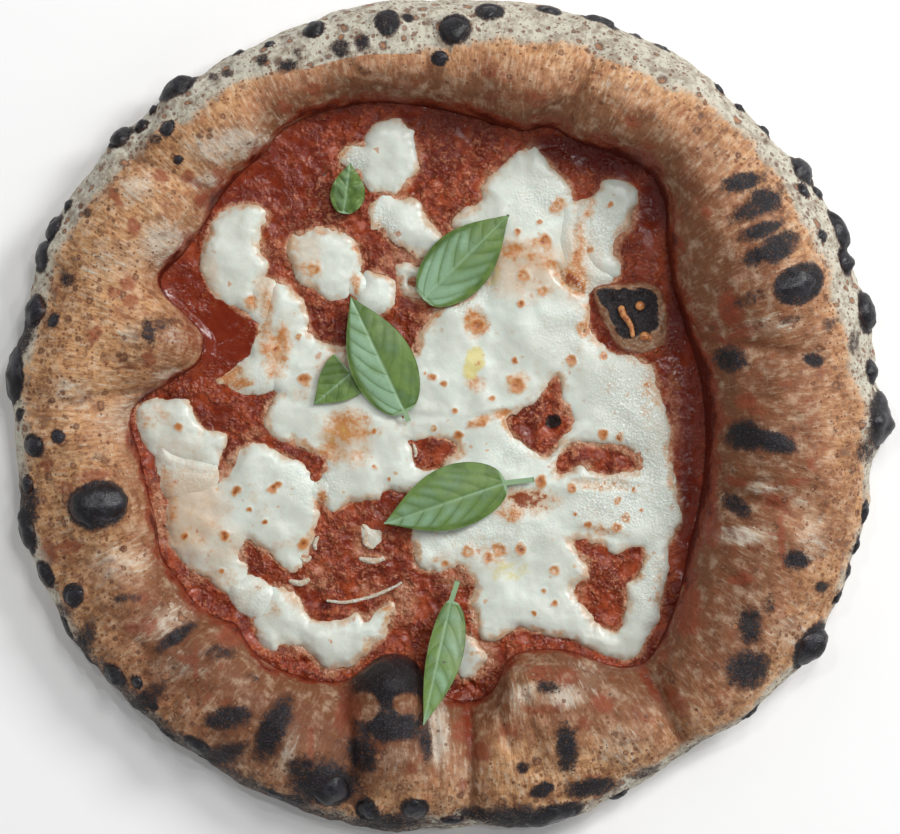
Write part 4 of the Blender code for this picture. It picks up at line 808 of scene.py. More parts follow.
class Recipe:
    """A material's nodes, made and joined in few words. A source is a signal or a plain value."""

    def __init__(self, name: str) -> None:
        """Starts from one Principled BSDF.

        Args:
            name: The material's name.
        """
        self.material = bpy.data.materials.new(name)
        self.material.use_nodes = True
        self.nodes = self.material.node_tree.nodes
        self.shader = self.nodes["Principled BSDF"]
        self.place = Signal(self.nodes.new("ShaderNodeTexCoord").outputs["Object"])

    def value(self, label: str, output: str = "Fac") -> Signal:
        """What the mesh holds for each point.

        Args:
            label: The name that it has in the mesh.
            output: Fac for a number, Vector for a place.

        Returns:
            The number or the place.
        """
        node = self.nodes.new("ShaderNodeAttribute")
        node.attribute_name = label
        return Signal(node.outputs[output])

    def texture(self, kind: str, size: float, place: Signal) -> bpy.types.Node:
        """A procedural texture.

        Args:
            kind: The node's type.
            size: The features' size in millimetres.
            place: Where it is read from.

        Returns:
            The node.
        """
        node = self.nodes.new(kind)
        join(place, node.inputs["Vector"])
        node.inputs["Scale"].default_value = 1 / (size * MM)
        return node

    def shifted(self, shift: float) -> Signal:
        """The place on the pizza, moved so that two patterns don't line up.

        Args:
            shift: How far, in metres.

        Returns:
            The moved place.
        """
        if not shift:
            return self.place
        node = self.nodes.new("ShaderNodeVectorMath")
        join(self.place, node.inputs[0])
        node.inputs[1].default_value = (shift, 0.7 * shift, 0.4 * shift)
        return Signal(node.outputs[0])

    def noise(self, size: float, detail: float = 3.0, shift: float = 0.0, place: Signal = None) -> Signal:
        """Cloudy noise from 0 to 1.

        Args:
            size: The features' size in millimetres.
            detail: How many finer layers the noise has.
            shift: How far the pattern is moved, in metres.
            place: Where it is read from, in place of the place on the pizza.

        Returns:
            The noise.
        """
        node = self.texture("ShaderNodeTexNoise", size, place or self.shifted(shift))
        node.inputs["Detail"].default_value = detail
        node.inputs["Roughness"].default_value = 0.6
        return Signal(node.outputs[0])

    def cells(self, size: float, shift: float = 0.0) -> tuple[Signal, Signal, Signal]:
        """Scattered points and the cells round them.

        Args:
            size: How far apart the points are, in millimetres.
            shift: How far the pattern is moved, in metres.

        Returns:
            The distance to the nearest point, and two random numbers of that point's.
        """
        node = self.texture("ShaderNodeTexVoronoi", size, self.shifted(shift))
        parts = self.nodes.new("ShaderNodeSeparateColor")
        join(Signal(node.outputs["Color"]), parts.inputs[0])
        return Signal(node.outputs["Distance"]), Signal(parts.outputs[0]), Signal(parts.outputs[1])

    def step(self, source: Signal, low: float, high: float) -> Signal:
        """An even step from 0 to 1.

        Args:
            source: What is compared.
            low, high: Where the step is 0 and where it is 1. Low may be the greater.

        Returns:
            The step.
        """
        node = self.nodes.new("ShaderNodeMapRange")
        node.interpolation_type = "SMOOTHSTEP"
        join(source, node.inputs["Value"])
        ends = {"From Min": min(low, high), "From Max": max(low, high),
                "To Min": float(low > high), "To Max": float(low < high)}
        for label, number in ends.items():
            node.inputs[label].default_value = number
        return Signal(node.outputs["Result"])

    def broken(self, source: object, noise: Signal, amount: float, low: float, high: float) -> Signal:
        """A mark whose edge is broken up: the step of source plus amount times noise less a half."""
        return self.step(source + (noise - 0.5) * amount, low, high)

    def mix(self, share: object, first: object, second: object) -> Signal:
        """A mixed colour.

        Args:
            share: 0 for the first colour, 1 for the second.
            first, second: The two colours.

        Returns:
            The colour.
        """
        node = self.nodes.new("ShaderNodeMix")
        node.data_type = "RGBA"
        for source, socket in ((share, "Factor"), (first, 6), (second, 7)):
            join(source, node.inputs[socket])
        return Signal(node.outputs[2])

    def over(self, skin: Signal, shade: object, share: object, strength: float = 1.0) -> Signal:
        """The skin with a shade laid over it by a share, which a strength below 1 weakens."""
        return self.mix(share if strength == 1 else share * strength, skin, shade)

    def bump(self, height: object, depth: float, strength: float = 1.0, normal: object = None) -> Signal:
        """A surface that stands up.

        Args:
            height: How high it is, from 0 to 1.
            depth: How many millimetres a height of 1 is.
            strength: How much of it shows.
            normal: The surface that it is added to.

        Returns:
            The surface's direction.
        """
        node = self.nodes.new("ShaderNodeBump")
        node.inputs["Strength"].default_value = strength
        node.inputs["Distance"].default_value = depth * MM
        join(height, node.inputs["Height"])
        if normal is not None:
            join(normal, node.inputs["Normal"])
        return Signal(node.outputs[0])

    def finish(self, base: object, roughness: object, normal: object, **plain: float) -> Material:
        """Joins the colour, roughness and surface to the shader, and sets its plain numbers.

        Args:
            base, roughness, normal: What goes to the sockets of those names.
            **plain: Further sockets by name, with an underscore for each space.

        Returns:
            The finished material.
        """
        join(base, self.shader.inputs["Base Color"])
        join(roughness, self.shader.inputs["Roughness"])
        join(normal, self.shader.inputs["Normal"])
        for label, number in plain.items():
            self.shader.inputs[label.replace("_", " ")].default_value = number
        return self.material


@dataclass(frozen=True)
class BakedDough:
    """The finish of the crust: tan skin, browning, flour, sauce stains and soot, with painted shade,
    highlight and sheen.
    """

    # Painted shade: the darker brown low on the inner wall, where the tone is low.
    hollow: Colour = colour(122, 76, 48)
    tan: Colour = colour(172, 121, 86)
    golden: Colour = colour(206, 156, 108)
    cream: Colour = colour(216, 192, 164)
    pale: Colour = colour(208, 198, 182)
    pit: Colour = colour(120, 72, 45)
    rust: Colour = colour(142, 66, 40)
    grit: Colour = colour(108, 62, 38)
    brown: Colour = colour(106, 62, 38)
    spot: Colour = colour(86, 52, 38)
    flour: Colour = colour(198, 194, 178)
    flour_grey: Colour = colour(152, 138, 120)
    sauce: Colour = colour(128, 44, 20)
    # Partly painted shade: the sauce stain darkened where it is strongest, at the foot of the inner wall.
    sauce_dark: Colour = colour(78, 16, 4)
    scorch: Colour = colour(70, 42, 30)
    char: Colour = colour(25, 21, 24)
    # Painted sheen: bluish grey specks on the char.
    painted_sheen: Colour = colour(62, 58, 64)

    def material(self) -> Material:
        """Builds the nodes, with each later layer laid over the ones before.

        Returns:
            The material.
        """
        mix = Recipe("baked_dough")
        patch, mottle, fine = mix.noise(5.5, 3, 0.31), mix.noise(2.1, 3, 0.53), mix.noise(0.75, 2, 0.77)
        fibre = mix.noise(1.5, 2, place=mix.value("streak", "Vector"))
        both = patch * 0.5 + mottle * 0.5
        skin = self.bare(mix, patch, mottle, fibre)
        toasted = mix.broken(mix.value("brown"), both, 1.5, 0.2, 1.1)
        skin = mix.over(skin, self.brown, toasted, 0.72)
        skin = mix.over(skin, self.sauce, mix.broken(mix.value("sauce"), both, 1.3, 0.25, 0.95), 0.85)
        # Painted shade at the foot of the inner wall, over the sauce stain.
        skin = mix.over(skin, self.sauce_dark, mix.broken(mix.value("sauce"), mottle, 0.5, 0.85, 1.25))
        dusted = mix.mix(mix.step(both, 0.44, 0.6) * 0.85, self.flour, self.flour_grey)
        skin = mix.over(skin, dusted, mix.broken(mix.value("flour"), both, 2, 0.15, 0.85))
        skin = self.spotted(mix, skin, mottle)
        soot = mix.value("char")
        grainy = fine * 0.6 + mottle * 0.4
        skin = mix.over(skin, self.scorch, mix.broken(soot, both, 1.4, 0.05, 0.7), 0.8)
        burnt = mix.broken(soot, grainy, 2.8, 0.42, 0.85)
        skin = mix.over(skin, self.char, burnt)
        skin = mix.over(skin, self.painted_sheen, burnt * mix.step(fine, 0.5, 0.72))
        wet = mix.step(mix.value("sauce"), 0.4, 0.8)
        rough = 0.64 - wet * 0.34 - mix.step(both, 0.54, 0.64) * 0.2
        surface = mix.bump(patch, 1.2, 0.6)
        surface = mix.bump(mottle, 0.6, 0.7, surface)
        surface = mix.bump(fibre, 0.5, 0.7, surface)
        surface = mix.bump(fine, 0.3, 0.7, surface)
        return mix.finish(skin, rough, surface, Specular_IOR_Level=0.3)

    def bare(self, mix: Recipe, patch: Signal, mottle: Signal, fibre: Signal) -> Signal:
        """Colours the skin before it is toasted: darker brown low inside, golden on the crown, with painted
        light and shade from the tone, and fibrous.

        Args:
            mix: The material's nodes.
            patch, mottle, fibre: Coarse, finer and drawn-out noise.

        Returns:
            The colour.
        """
        tone, cloud = mix.value("tone"), mix.noise(16, 3)
        lively = tone * 0.45 + 0.15
        skin = mix.mix(mix.broken(tone, cloud, 0.8, 0, 0.65), self.hollow, self.tan)
        skin = mix.over(skin, self.golden, mix.broken(tone, cloud, 0.9, 0.45, 1.1))
        skin = mix.over(skin, self.pit, mix.step(patch, 0.46, 0.72), 0.42)
        skin = mix.over(skin, self.cream, mix.step(patch, 0.52, 0.26), 0.42)
        skin = mix.over(skin, self.pit, mix.step(mottle, 0.46, 0.72) * lively)
        skin = mix.over(skin, self.pit, mix.step(fibre, 0.5, 0.3) * lively)
        skin = mix.over(skin, self.cream, mix.step(fibre, 0.5, 0.7) * lively)
        # Painted highlight: pale creamy patches where the cream value is high.
        cream = mix.value("cream")
        skin = mix.over(skin, self.cream, mix.step(cream, 0.1, 1), 0.55)
        skin = mix.over(skin, self.pale, mix.broken(cream, fibre, 2.4, 0.4, 1.1), 0.75)
        red = mix.step(mix.noise(6, 3, 0.93), 0.56, 0.72) * 0.4
        skin = mix.over(skin, self.rust, red)
        red = mix.broken(mix.value("rust"), mottle, 1.4, 0.15, 0.95) * 0.72
        return mix.over(skin, self.rust, red)

    def spotted(self, mix: Recipe, skin: Signal, mottle: Signal) -> Signal:
        """Strews grit, brown spots and rings, more where the mesh asks for them.

        Args:
            mix: The material's nodes.
            skin: The colour so far.
            mottle: Noise that breaks up the spots' edges.

        Returns:
            The colour.
        """
        spots = mix.value("spots")
        for size, shift, hole in ((1.5, 0.41, False), (2.6, 0.67, False), (4.4, 0.23, True), (7, 0.11, True)):
            distance, chance, width = mix.cells(size, shift)
            ragged = distance + (mottle - 0.5) * 0.5
            reach = width * 0.17 + 0.13
            wanted = mix.step(spots - chance, -0.04, 0.1)
            inside = reach - ragged
            disc = mix.step(inside, -0.08, 0.06) * (wanted * 0.78)
            skin = mix.over(skin, self.spot if hole else self.grit, disc)
            if hole:
                middle = mix.step(inside, 0.05, 0.16) * (wanted * 0.75)
                skin = mix.over(skin, self.tan, middle)
        return skin


@dataclass(frozen=True)
class Charcoal:
    """The finish of a burnt blister: black, with a painted bluish sheen and brown where it cracks."""

    black: Colour = colour(20, 17, 20)
    # Painted sheen: the bluish grey mixed into the black.
    painted_sheen: Colour = colour(50, 48, 56)
    brown: Colour = colour(58, 34, 26)

    def material(self) -> Material:
        """Builds the nodes.

        Returns:
            The material.
        """
        mix = Recipe("charcoal")
        patch, fine = mix.noise(4, 3), mix.noise(0.8, 3, 0.37)
        both = patch * 0.6 + fine * 0.4
        skin = mix.mix(mix.step(both, 0.44, 0.66), self.black, self.painted_sheen)
        skin = mix.over(skin, self.brown, mix.broken(mix.value("brown"), both, 1.4, 0.4, 1))
        surface = mix.bump(fine, 0.3, 0.7, mix.bump(patch, 0.8, 0.5))
        return mix.finish(skin, fine * 0.35 + 0.16, surface, Specular_IOR_Level=0.4)


@dataclass(frozen=True)
class Tomato:
    """The finish of the sauce: wet and grainy, red-brown, with paler lumps, and painted shade in its hollows
    and in the rim's shadow.
    """

    red: Colour = colour(158, 68, 36)
    deep: Colour = colour(114, 38, 20)
    # Painted shade: the colour of the rim's shadow on the sauce and of the gaps between its grains.
    dark: Colour = colour(86, 19, 4)
    pulp: Colour = colour(200, 140, 106)
    orange: Colour = colour(186, 104, 54)
    milky: Colour = colour(190, 134, 100)
    cream: Colour = colour(210, 188, 160)
    crumb: Colour = colour(34, 24, 21)

    def material(self) -> Material:
        """Builds the nodes.

        Returns:
            The material.
        """
        mix = Recipe("tomato_sauce_finish")
        cloud, chunk = mix.noise(9, 3), mix.noise(3, 3, 0.29)
        grain, clump = mix.noise(1, 3, 0.61), mix.cells(1.9, 0.17)[0]
        both = chunk * 0.5 + grain * 0.5
        coarse = mix.step(mix.noise(8, 3, 0.71), 0.42, 0.56) * 0.75 + 0.25
        calm = coarse * (1 - mix.value("pool") * 0.9)
        skin = mix.mix(mix.step(cloud, 0.4, 0.62), self.red, self.deep)
        skin = mix.over(skin, self.deep, mix.value("pool"), 0.85)
        # Painted shade: deeper red in the low places of the chunky relief.
        skin = mix.over(skin, self.deep, mix.step(chunk, 0.5, 0.36), 0.7)
        lumpy = mix.step(both, 0.5, 0.6) * (mix.value("lumps") * calm)
        skin = mix.over(skin, self.pulp, lumpy, 0.8)
        skin = mix.over(skin, self.orange, mix.step(grain, 0.52, 0.66) * (calm * 0.55))
        # Painted shade in the gaps between the grains, which the bump sets lower.
        skin = mix.over(skin, self.dark, mix.step(clump, 0.36, 0.7) * (calm * 0.5))
        film = mix.value("film")
        skin = mix.over(skin, self.milky, mix.broken(film, both, 1.8, 0.25, 1), 0.75)
        skin = mix.over(skin, self.cream, mix.broken(film, both, 2, 0.75, 1.35), 0.85)
        # Painted shadow where the shade marks lie, by the rim's foot and beside the toppings.
        skin = mix.over(skin, self.dark, mix.broken(mix.value("shade"), chunk, 0.5, 0.2, 0.9))
        skin = mix.over(skin, self.crumb, mix.broken(mix.value("char"), grain, 1.6, 0.4, 0.7))
        surface = mix.bump(chunk * calm, 1.8, 0.8)
        surface = mix.bump(clump * calm, -0.5, 0.8, surface)
        surface = mix.bump(grain * calm, 0.7, 0.8, surface)
        return mix.finish(skin, 0.13, surface, Specular_IOR_Level=0.32)


@dataclass(frozen=True)
class MeltedCheese:
    """The finish of the mozzarella: cool white, creamy where thin, stained orange, spotted brown, with
    painted glints where wet.
    """

    white: Colour = colour(209, 214, 203)
    cool: Colour = colour(218, 225, 215)
    cream: Colour = colour(205, 189, 167)
    tan: Colour = colour(204, 158, 112)
    orange: Colour = colour(186, 112, 48)
    brown: Colour = colour(134, 68, 30)
    oil: Colour = colour(212, 198, 112)
    tomato: Colour = colour(134, 56, 32)
    painted_glint: Colour = colour(240, 246, 242)

    def material(self) -> Material:
        """Builds the nodes.

        Returns:
            The material.
        """
        mix = Recipe("melted_cheese")
        cloud, patch = mix.noise(12, 3), mix.noise(4.4, 3, 0.19)
        mottle, glints = mix.noise(1.6, 2, 0.47), mix.noise(0.9, 2, 0.83)
        skin = mix.mix(mix.step(cloud, 0.4, 0.62), self.white, self.cool)
        both = patch * 0.6 + mottle * 0.4
        skin = mix.over(skin, self.cream, mix.broken(mix.value("cream"), both, 1, 0.25, 1))
        stain = mix.value("stain")
        skin = mix.over(skin, self.tan, mix.broken(stain, both, 1.8, 0.2, 0.95), 0.9)
        skin = mix.over(skin, self.orange, mix.broken(stain, both, 2.8, 0.6, 1.15), 0.85)
        oiled = mix.broken(mix.value("oil"), both, 1.8, 0.3, 0.9)
        skin = mix.over(skin, self.oil, oiled, 0.85)
        skin = self.freckled(mix, skin, mottle)
        spot = mix.value("spot")
        skin = mix.over(skin, self.tan, mix.broken(spot, both, 1, 0.1, 0.55), 0.85)
        skin = mix.over(skin, self.orange, mix.broken(spot, both, 1.2, 0.4, 0.85), 0.85)
        skin = mix.over(skin, self.brown, mix.broken(spot, mottle, 1.4, 0.8, 1.15), 0.9)
        edge = mix.value("edge")
        skin = mix.over(skin, self.cream, mix.broken(edge, both, 1.2, 0.15, 0.75), 0.9)
        skin = mix.over(skin, self.tan, mix.broken(edge, both, 1.6, 0.5, 0.95), 0.85)
        thin = (mix.value("thin") * 0.9).greater(edge)
        skin = mix.over(skin, self.tomato, mix.broken(thin, both, 2.2, 0.72, 1), 0.85)
        # Painted glints: near-white specks where the cheese is wet.
        wet = mix.value("wet")
        painted_glint = mix.step(glints, 0.54, 0.64) * (wet * 0.8)
        skin = mix.over(skin, self.painted_glint, painted_glint)
        surface = mix.bump(patch, 0.6, 0.25)
        surface = mix.bump(mottle, 0.2, 0.25, surface)
        surface = mix.bump(glints * (wet * 0.94 + 0.06), 0.8, 0.9, surface)
        rough = 0.3 - wet * 0.16
        return mix.finish(skin, rough, surface, Subsurface_Weight=0.1, Subsurface_Scale=0.002)

    def freckled(self, mix: Recipe, skin: Signal, mottle: Signal) -> Signal:
        """Strews tan and brown freckles, more where the cheese is creamy.

        Args:
            mix: The material's nodes.
            skin: The colour so far.
            mottle: Noise that breaks up the freckles' edges.

        Returns:
            The colour.
        """
        for size, shift, shade in ((4.6, 0.37, self.tan), (7.5, 0.59, self.orange)):
            distance, chance, width = mix.cells(size, shift)
            ragged = distance + (mottle - 0.5) * 0.5
            reach = width * 0.12 + 0.03
            disc = mix.step(reach - ragged, -0.06, 0.06)
            likely = mix.value("cream") * 0.5 + 0.3
            wanted = mix.step(likely - chance, -0.02, 0.06)
            skin = mix.over(skin, shade, disc * (wanted * 0.7))
        return skin


@dataclass(frozen=True)
class Leaf:
    """The finish of a basil leaf: satin green, with painted shade in its furrows, a paler midrib and a
    painted sheen on one half.
    """

    green: Colour = colour(104, 132, 66)
    deep: Colour = colour(76, 104, 42)
    # Painted sheen: the paler green laid over one half of each leaf.
    pale: Colour = colour(146, 182, 148)
    vein: Colour = colour(158, 190, 154)
    bruise: Colour = colour(74, 60, 62)

    def material(self) -> Material:
        """Builds the nodes.

        Returns:
            The material.
        """
        mix = Recipe("basil_leaf")
        cloud, mottle = mix.noise(7, 3), mix.noise(1.2, 3, 0.43)
        skin = mix.mix(mix.step(cloud, 0.38, 0.62), self.green, self.deep)
        skin = mix.over(skin, self.pale, mix.broken(mix.value("pale"), cloud, 0.8, 0.15, 0.9))
        skin = mix.over(skin, self.deep, mix.step(mottle, 0.5, 0.7), 0.15)
        # Painted shade in the furrows of the side veins.
        skin = mix.over(skin, self.deep, mix.value("furrow_shade"), 0.7)
        skin = mix.over(skin, self.vein, mix.value("vein"), 0.7)
        skin = mix.over(skin, self.bruise, mix.broken(mix.value("bruise"), mottle, 0.8, 0.5, 0.8))
        surface = mix.bump(mottle, 0.15, 0.4)
        return mix.finish(skin, 0.42, surface, Specular_IOR_Level=0.4)


@dataclass(frozen=True)
class OilDrop:
    """The finish of the orange drops on the charred bubble."""

    orange: Colour = colour(206, 142, 86)
    deep: Colour = colour(160, 92, 50)

    def material(self) -> Material:
        """Builds the nodes.

        Returns:
            The material.
        """
        mix = Recipe("oil_drop")
        cloud = mix.noise(2, 2)
        return mix.finish(mix.mix(mix.step(cloud, 0.4, 0.65), self.orange, self.deep), 0.3,
                          mix.bump(cloud, 0.2, 0.3))


class Slot(Enum):
    """Names for the finishes."""

    CRUST = "crust"
    SAUCE = "sauce"
    MOZZARELLA = "mozzarella"
    BASIL = "basil"


def add_piece(mesh: Mesh, material: Material, slot: Slot, *nodes: str) -> Piece:
    """Places a finished mesh on the pizza.

    Args:
        mesh: The piece's mesh, with its place in it.
        material: The piece's finish.
        slot: Not used.
        *nodes: The solids that the piece stands for.

    Returns:
        The piece's object, at the origin.
    """
    obj = bpy.data.objects.new(mesh.name, mesh)
    bpy.context.scene.collection.objects.link(obj)
    mesh.materials.append(material)
    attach(obj, "root")
    if nodes:
        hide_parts(*nodes)
    LOG.info("%s: %d points, %d faces", obj.name, len(mesh.vertices), len(mesh.polygons))
    return obj


def unit_length(vectors: Array) -> Array:
    """Vectors divided by their lengths."""
    return vectors / np.maximum(np.linalg.norm(vectors, axis=-1, keepdims=True), 1e-9)


@dataclass
class Dough:
    """The form of the dough, which every other piece lies on."""

    base_thickness: float = 3.2
    widest_height: float = 9.0
    tuck_under: float = 8.0
    crown_share: float = 0.46
    relief_start: float = 6.0
    relief_end: float = 8.0
    edge: Round = field(init=False)
    crown: Round = field(init=False)
    well: Round = field(init=False)

    def __post_init__(self) -> None:
        """Rounds the three outlines."""
        self.edge = Round(RIM_EDGE, 2.5)
        self.crown = Round(RIM_CROWN, 8)
        polar = [(math.degrees(math.atan2(y, x)) % 360, math.hypot(x, y)) for x, y in WELL_EDGE]
        self.well = Round(polar, 1.2)

    def relief(self, x: Array, y: Array) -> Array:
        """How far the lobes lift the skin and the folds and creases press it in.

        A lobe rises as the square of 1 less its distance share squared. A fold is a bell-shaped
        trough along its line, a crease a narrow one, and a ring fold a bell on a circle.

        Args:
            x, y: The places in plan.

        Returns:
            The lift at each place.
        """
        lift = np.zeros_like(x)
        for middle_x, middle_y, half_width, rise in LOBES:
            distance = np.hypot(x - middle_x, y - middle_y) / half_width
            lift += rise * np.clip(1 - distance**2, 0, None) ** 2
        for start, end, half_width, depth in FOLDS:
            lift -= depth * np.exp(-((along_line(x, y, start, end) / half_width) ** 2))
        for start, end, depth in CREASES:
            lift -= depth * np.exp(-((along_line(x, y, start, end) / 1.5) ** 2))
        for middle_x, middle_y, radius, width, height in RING_FOLDS:
            away = np.hypot(x - middle_x, y - middle_y) - radius
            lift += height * np.exp(-((away / width) ** 2))
        return lift

    def window(self, radius: Array, well: Array, edge: Array) -> Array:
        """How much relief shows: none at the foot of the inner wall and at the rim's edge."""
        inner = ease(0, self.relief_start, radius - well)
        return inner * ease(0, self.relief_end, edge - radius)

    def height(self, x: Array, y: Array) -> Array:
        """The height of the skin: a quarter ellipse up to the crown, and one down to the edge.

        Args:
            x, y: The places in plan.

        Returns:
            The height at each place, with the relief.
        """
        angle = np.degrees(np.arctan2(y, x))
        well, edge, top = self.well.at(angle), self.edge.at(angle), self.crown.at(angle)
        crown = well + (edge - well) * self.crown_share
        radius = np.hypot(x, y)
        inner = np.clip(1 - (radius - well) / (crown - well), 0, 1)
        outer = np.clip((radius - crown) / (edge - crown), 0, 1)
        rising = self.base_thickness + (top - self.base_thickness) * np.sqrt(1 - inner**2)
        falling = self.widest_height + (top - self.widest_height) * np.sqrt(1 - outer**2)
        skin = np.where(radius < crown, rising, falling)
        skin = skin + self.window(radius, well, edge) * self.relief(x, y)
        return np.where(radius < well, self.base_thickness, skin)

    def skin_frame(self, x: float, y: float, margin: float = 1.2, reach: float = 1.0) -> tuple[Array, ...]:
        """The skin's place over a point, and its directions.

        Args:
            x, y: The point in plan. Past the rim's edge it is brought back to just inside.
            margin: How far inside the edge the place is then.
            reach: The distance over which the skin's slope is read.

        Returns:
            The place, and the directions along the rim, up the slope and out of the skin.
        """
        angle = math.atan2(y, x)
        radius = min(math.hypot(x, y), float(self.edge.at(math.degrees(angle))) - margin)
        place = radius * np.array([math.cos(angle), math.sin(angle)])
        shifts = np.array([(0, 0), (1, 0), (-1, 0), (0, 1), (0, -1)], float) * reach
        heights = self.height(place[0] + shifts[:, 0], place[1] + shifts[:, 1])
        outward = np.array([heights[2] - heights[1], heights[4] - heights[3], 2 * reach])
        outward /= np.linalg.norm(outward)
        along = np.array([-math.sin(angle), math.cos(angle), 0])
        along -= outward * along.dot(outward)
        along /= np.linalg.norm(along)
        return np.array([*place, heights[0]]), along, np.cross(outward, along), outward


@dataclass
class Crust:
    """The dough in one skin, from the middle of its floor over the rim to the middle of its underside."""

    dough: Dough
    turn_steps: int = 1000
    floor_rows: int = 3
    inner_rows: int = 34
    outer_rows: int = 40
    tuck_rows: int = 10
    under_rows: int = 7
    grain: Grain = field(default_factory=lambda: Grain(11))

    def section(self, angle: Array) -> tuple[Array, Array, Array]:
        """The turned section in every direction.

        Args:
            angle: The directions in degrees.

        Returns:
            Grids of distance, height and looseness. The rows run from the floor over a quarter
            ellipse up to the crown, another down to the widest place, a tuck under and the flat
            underside. Looseness is 1 where the skin may be pushed about and 0 where it lies flat.
        """
        dough = self.dough
        well, edge, top = dough.well.at(angle), dough.edge.at(angle), dough.crown.at(angle)
        crown = well + (edge - well) * dough.crown_share
        rows = [(well * share, np.full_like(well, dough.base_thickness), 0)
                for share in np.linspace(0.4, 0.97, self.floor_rows)]
        for share in np.arange(self.inner_rows) / self.inner_rows:
            turn = 0.5 * math.pi * share
            rows.append((well + (crown - well) * (1 - math.cos(turn)),
                         dough.base_thickness + (top - dough.base_thickness) * math.sin(turn),
                         float(ease(0, 0.3, np.array(share)))))
        for share in np.linspace(1, 0, self.outer_rows):
            turn = 0.5 * math.pi * share
            rows.append((crown + (edge - crown) * math.cos(turn),
                         dough.widest_height + (top - dough.widest_height) * math.sin(turn), 1))
        for share in np.arange(1, self.tuck_rows + 1) / self.tuck_rows:
            turn = 0.5 * math.pi * share
            rows.append((edge - dough.tuck_under * (1 - math.cos(turn)),
                         dough.widest_height * (1 - math.sin(turn)) + np.zeros_like(edge),
                         1 - share))
        rows += [((edge - dough.tuck_under) * share, np.zeros_like(edge), 0)
                 for share in np.linspace(0.93, 0.15, self.under_rows)]
        radius, height, loose = zip(*rows)
        return np.array(radius), np.array(height), np.array(loose)[:, None] * np.ones_like(angle)

    def surface(self) -> Array:
        """The skin with its lobes, folds, mounds and lumps.

        Returns:
            The grid of points.
        """
        dough = self.dough
        angle = np.arange(self.turn_steps) * 360 / self.turn_steps
        radius, height, loose = self.section(angle)
        x, y = radius * np.cos(np.radians(angle)), radius * np.sin(np.radians(angle))
        well, edge = dough.well.at(angle), dough.edge.at(angle)
        low = np.where(radius < well + (edge - well) * dough.crown_share,
                       dough.base_thickness, dough.widest_height)
        upper = height > low + 1e-6
        height = height + np.where(upper, dough.window(radius, well, edge) * dough.relief(x, y), 0)
        points = np.stack([x, y, height], axis=-1)
        out = self.normals(points)
        flat = points.reshape(-1, 3)
        lumps = (self.grain.at(flat, 21) + 0.9 * self.grain.at(flat + 40, 10)
                 + 0.5 * self.grain.at(flat + 80, 4.6) + 0.26 * self.grain.at(flat + 120, 2.2))
        swell = np.zeros(len(flat))
        for px, py, half_length, half_width in BLISTERS + SMALL_BLISTERS:
            place = dough.skin_frame(px, py)[0]
            distance = np.linalg.norm(flat - place, axis=1) / (1.5 * max(half_length, half_width))
            swell = np.maximum(swell, 0.3 * half_width * np.clip(1 - distance**2, 0, None))
        push = ((lumps + swell).reshape(loose.shape) * loose)[..., None]
        return points + out * push

    @staticmethod
    def normals(points: Array) -> Array:
        """The outward direction at each point of the closed grid.

        Args:
            points: The grid.

        Returns:
            The cross product of the differences along the rows and around, made 1 long.
        """
        around = np.roll(points, -1, axis=1) - np.roll(points, 1, axis=1)
        return unit_length(np.cross(np.gradient(points, axis=0), around))

    def marks(self, points: Array) -> dict[str, Array]:
        """How floury, brown, charred, sauced, creamy and spotted the skin is, where cream is painted
        highlight and the tone and folds carry painted shade.

        Args:
            points: The grid of points.

        Returns:
            The named numbers of the points, one after the other.
        """
        dough = self.dough
        flat = points.reshape(-1, 3)
        x, y, z = flat.T
        radius, angle = np.hypot(x, y), np.degrees(np.arctan2(y, x))
        well, edge = dough.well.at(angle), dough.edge.at(angle)
        share = np.clip((radius - well) / (edge - well), 0, 1.2)
        rows = np.arange(points.shape[0])[:, None] * np.ones(points.shape[1])
        outer = rows.ravel() >= self.floor_rows + self.inner_rows
        under = rows.ravel() >= self.floor_rows + self.inner_rows + self.outer_rows
        wander = 2.4 * self.grain.layers(flat + 200, 12)
        band = Round(BAND_EDGE, 3).at(angle)
        flour = np.where(outer, ease(-4, 4, radius - band + wander), 0)
        flour = flour * (1 - 0.55 * (1 - ease(2, 17, z + 2 * wander)))
        flour = np.where(under, 1, flour)
        brown = ovals(x, y, BROWN_MARKS, 0.7) * (1 - 0.5 * flour)
        brown = np.maximum(brown, 0.55 * ease(0.45, 0.85, share) * outer * (1 - flour))
        brown = np.where(under, 0.35, brown)
        char = ovals(x, y, CHAR_MARKS, 0.6)
        char = char * (1 - ovals(x, y, BARE_MARKS, 0.3))
        south_west = ease(198, 222, angle % 360) * (1 - ease(262, 280, angle % 360))
